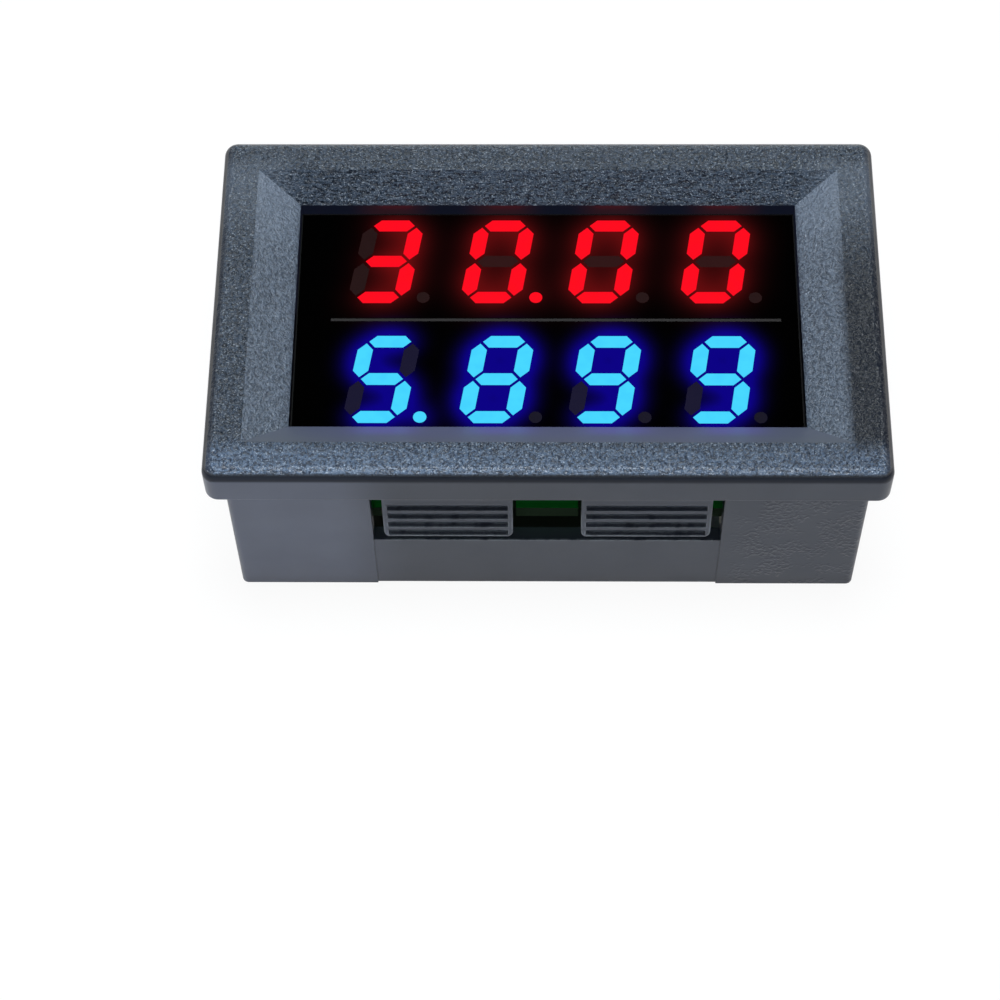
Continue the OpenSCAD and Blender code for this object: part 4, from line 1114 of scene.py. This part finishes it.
def lay_tracks():
    """The signal tracks between display, chips and trimmers, and the wide supply tracks."""
    tracks = Plates(TRACK_THICKNESS)
    chip, driver = "microcontroller_leads", "display_driver_leads"
    fan(tracks, row_of("display_solder", True), row_of(chip, True)[1:-1])
    fan(tracks, row_of("display_solder", False), row_of(driver, False))
    fan(tracks, row_of(driver, True), row_of(chip, False)[1:-1])
    leads, wipers = row_of("op_amp_leads", True)[-2:], row_of("trimmer_terminals", False)[-2:]
    for turn, (lead, wiper) in enumerate(zip(leads, wipers), 1):
        level = wiper[1] - TRACK_PITCH * turn
        tracks.band([lead, (lead[0], level), (wiper[0], level), wiper], TRACK_W)
    supply, diode, regulator, can = (
        [middle_of(box) for box in feet(node)]
        for node in ("supply_socket_pins", "protection_diode_tabs", "voltage_regulator_tabs",
                     "filter_capacitor_tabs")
    )
    top = max(supply, key=lambda m: m[1])
    near = min(can, key=lambda m: m[1])
    tracks.band([top, (diode[0][0], top[1] + SUPPLY_RISE), diode[0]], POWER_W)
    turn = (regulator[-1][0], diode[-1][1] + POWER_W)
    tracks.band([diode[-1], turn, regulator[-1]], POWER_W)
    tracks.band([regulator[-1], (near[0], regulator[-1][1]), near], POWER_W)
    tracks.build("board_tracks", track_mask())


PATH_THICKNESS = 0.06 * MM
PATH_W = 2.6 * MM
PATH_END_R = 0.6 * PATH_W


def lay_current_path():
    """The tinned tracks that carry the measured current between the socket and the shunt."""
    path = Plates(PATH_THICKNESS)
    pins = sorted(map(middle_of, feet("current_socket_pins")), key=lambda m: m[1])
    low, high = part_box("current_shunt")
    radius = (high.x - low.x) / 2
    for pin, end_y in zip(pins, (low.y + radius, high.y - radius)):
        end = (low.x + radius, end_y)
        across = (pin[0] - end[0]) / 3
        path.band([end, (end[0] + across, end[1]), (pin[0] - across, pin[1]), pin], PATH_W)
        path.disc(end, PATH_END_R)
    path.build("current_path", pad_metal("current_path_tin", 0.016))


INK_THICKNESS = 0.015 * MM
INK_W = 0.16 * MM
INK_GAP = 0.3 * MM
OUTLINED = (
    ("supply_socket",), ("current_socket",), ("voltage_trimmer_body",),
    ("current_trimmer_body",), ("protection_diode", "protection_diode_tabs"),
    ("voltage_regulator", "voltage_regulator_tabs"), ("filter_capacitor_base",),
)


def lay_outlines():
    """The printed white outlines round the larger parts."""
    ink = Plates(INK_THICKNESS)
    for names in OUTLINED:
        boxes = [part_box(name) for name in names]
        x0, y0 = (min(b[0][axis] for b in boxes) - INK_GAP for axis in (0, 1))
        x1, y1 = (max(b[1][axis] for b in boxes) + INK_GAP for axis in (0, 1))
        ink.band([(x0, y0), (x1, y0), (x1, y1), (x0, y1)], INK_W, closed=True)
    ink.build("board_outlines", printed_ink())


# ---- Studio ----

CAMERA_AT = Vector((-0.3856, -106.190, 175.650)) * MM
CAMERA_FORWARD = Vector((-0.015714, 0.494743, -0.868897))
CAMERA_UP = Vector((-0.002029, 0.868987, 0.494831))
CAMERA_LENS = 95.516


def camera():
    """The photo's camera, fitted to the meter's edges."""
    data = bpy.data.cameras.new("camera")
    data.lens = CAMERA_LENS
    data.sensor_width = 36
    data.clip_start = 0.01
    data.clip_end = 20
    back = -CAMERA_FORWARD.normalized()
    right = CAMERA_UP.cross(back).normalized()
    up = back.cross(right)
    turn = Matrix((right, up, back)).transposed().to_4x4()
    shot = bpy.data.objects.new("camera", data)
    shot.matrix_world = Matrix.Translation(CAMERA_AT) @ turn
    bpy.context.scene.collection.objects.link(shot)
    bpy.context.scene.camera = shot


# Name, azimuth and elevation in degrees, distance, width and depth in metres, level, colour
LAMPS = (
    ("overhead", 180, 88, 0.7, 0.3, 0.25, 1.2, (0.94, 1.0, 1.03)),
    ("back_box", 180, 10, 0.7, 0.3, 0.25, 0.18, (0.95, 1.0, 0.9)),
    ("front_fill", 0, 32, 0.7, 0.3, 0.2, 0.2, (0.95, 1.0, 1.0)),
    ("under", 180, -62, 0.5, 0.3, 0.3, 0.6, (1.0, 1.0, 1.0)),
)


def lamp(name, azimuth, elevation, distance, width, depth, level, colour):
    """A soft box round the object; level is how brightly it lights a white card facing it."""
    data = bpy.data.lights.new(name, "AREA")
    data.shape = "RECTANGLE"
    data.size, data.size_y = width, depth
    data.energy = level * math.pi**2 * distance**2
    data.color = colour
    light = bpy.data.objects.new(name, data)
    a, e = math.radians(azimuth), math.radians(elevation)
    away = Vector((math.sin(a) * math.cos(e), -math.cos(a) * math.cos(e), math.sin(e)))
    light.location = away * distance
    light.rotation_mode = "QUATERNION"
    light.rotation_quaternion = away.to_track_quat("Z", "Y")
    light.visible_camera = False
    bpy.context.scene.collection.objects.link(light)


FLOOR_HALF = 3.0
FLOOR_INSET = 2 * MM
FLOOR_PALE = (0.9, 0.9, 0.9)
# The floor's dark is a painted shadow where the meter covers it; the dark room's cloth uses it
# too
FLOOR_COVERED = (0.03, 0.03, 0.03)
FLOOR_SHADOW = 0.08


def floor_material():
    """Pale card that shows as white but keeps the meter's shadow.

    It is painted dark where the meter covers it, as a painted shadow, lets light through there to
    the meter's rear, and can't be seen from below.
    """
    s = Shader("studio_floor", roughness=0.9, specular_ior_level=0.0)
    s.place()
    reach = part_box("housing")[1]
    outside = s.math("MAXIMUM", *(
        s.math("GREATER_THAN", s.size_of(s.axes[axis]), (reach[axis] - FLOOR_INSET) / MM)
        for axis in (0, 1)
    ))
    # Painted shadow: the floor dark where the meter covers it
    s.set(base_color=s.mix(outside, FLOOR_COVERED, FLOOR_PALE))
    white = s.add("Emission", {"Strength": 1.0}).outputs[0]
    share = s.both(s.shown_white(), outside, 1 - FLOOR_SHADOW)
    card = s.add("MixShader", {0: share, 1: s.bsdf.outputs[0], 2: white}).outputs[0]
    lets_through = s.both(s.without(outside), s.add("LightPath").outputs["Is Shadow Ray"])
    gone = s.math("MAXIMUM", s.add("NewGeometry").outputs["Backfacing"], lets_through)
    clear = s.add("BsdfTransparent").outputs[0]
    whole = s.add("MixShader", {0: gone, 1: card, 2: clear}).outputs[0]
    s.feed(s.tree.nodes["Material Output"].inputs["Surface"], whole)
    return s.material


def mesh_object(name, points, faces, material):
    """A new mesh in the scene, with one material."""
    mesh = bpy.data.meshes.new(name)
    mesh.from_pydata(points, [], faces)
    mesh.materials.append(material)
    thing = bpy.data.objects.new(name, mesh)
    bpy.context.scene.collection.objects.link(thing)
    return thing


def floor():
    """The sheet that the meter lies on."""
    half = FLOOR_HALF
    corners = [(-half, -half, 0), (half, -half, 0), (half, half, 0), (-half, half, 0)]
    plane = mesh_object("floor", corners, [(0, 1, 2, 3)], floor_material())


WORLD_LEVEL = (0.06, 0.06, 0.06)


def world():
    """A white background over a dim, even light."""
    made = bpy.data.worlds.new("studio")
    made.use_nodes = True
    n = Nodes(made.node_tree)
    colour = n.mix(n.shown_white(), WORLD_LEVEL, (1, 1, 1))
    n.feed(n.tree.nodes["Background"].inputs["Color"], colour)
    made.cycles.sampling_method = "NONE"
    bpy.context.scene.world = made


ROOM_RADIUS = 1.3
ROOM_FROM = 3  # Degrees above the level of the floor
ROOM_TURNS = 32
ROOM_RISES = 8


def dark_room():
    """The dark studio round the lamps, which only reflections meet."""
    turns, points = ROOM_TURNS, []
    for rise in range(ROOM_RISES + 1):
        e = math.radians(ROOM_FROM + (90 - ROOM_FROM) * rise / ROOM_RISES)
        for i in range(turns):
            a = 2 * math.pi * i / turns
            around_z = Vector((math.cos(a) * math.cos(e), math.sin(a) * math.cos(e), math.sin(e)))
            points.append(around_z * ROOM_RADIUS)
    faces = [
        (turns * r + i, turns * r + (i + 1) % turns,
         turns * (r + 1) + (i + 1) % turns, turns * (r + 1) + i)
        for r in range(ROOM_RISES) for i in range(turns)
    ]
    cloth = Shader("dark_cloth", base_color=FLOOR_COVERED, roughness=0.9, specular_ior_level=0.0)
    room = mesh_object("dark_room", points, faces, cloth.material)
    for kind in ("camera", "diffuse", "transmission", "shadow"):
        setattr(room, "visible_" + kind, False)


def studio():
    """The camera, the lamps and what stands round them. None of it is part of the meter."""
    bpy.context.scene.view_settings.view_transform = "Standard"
    camera()
    world()
    floor()
    dark_room()
    for settings in LAMPS:
        lamp(*settings)


finish_nodes()
dress_display()
lay_pads()
lay_tracks()
lay_current_path()
lay_outlines()
studio()
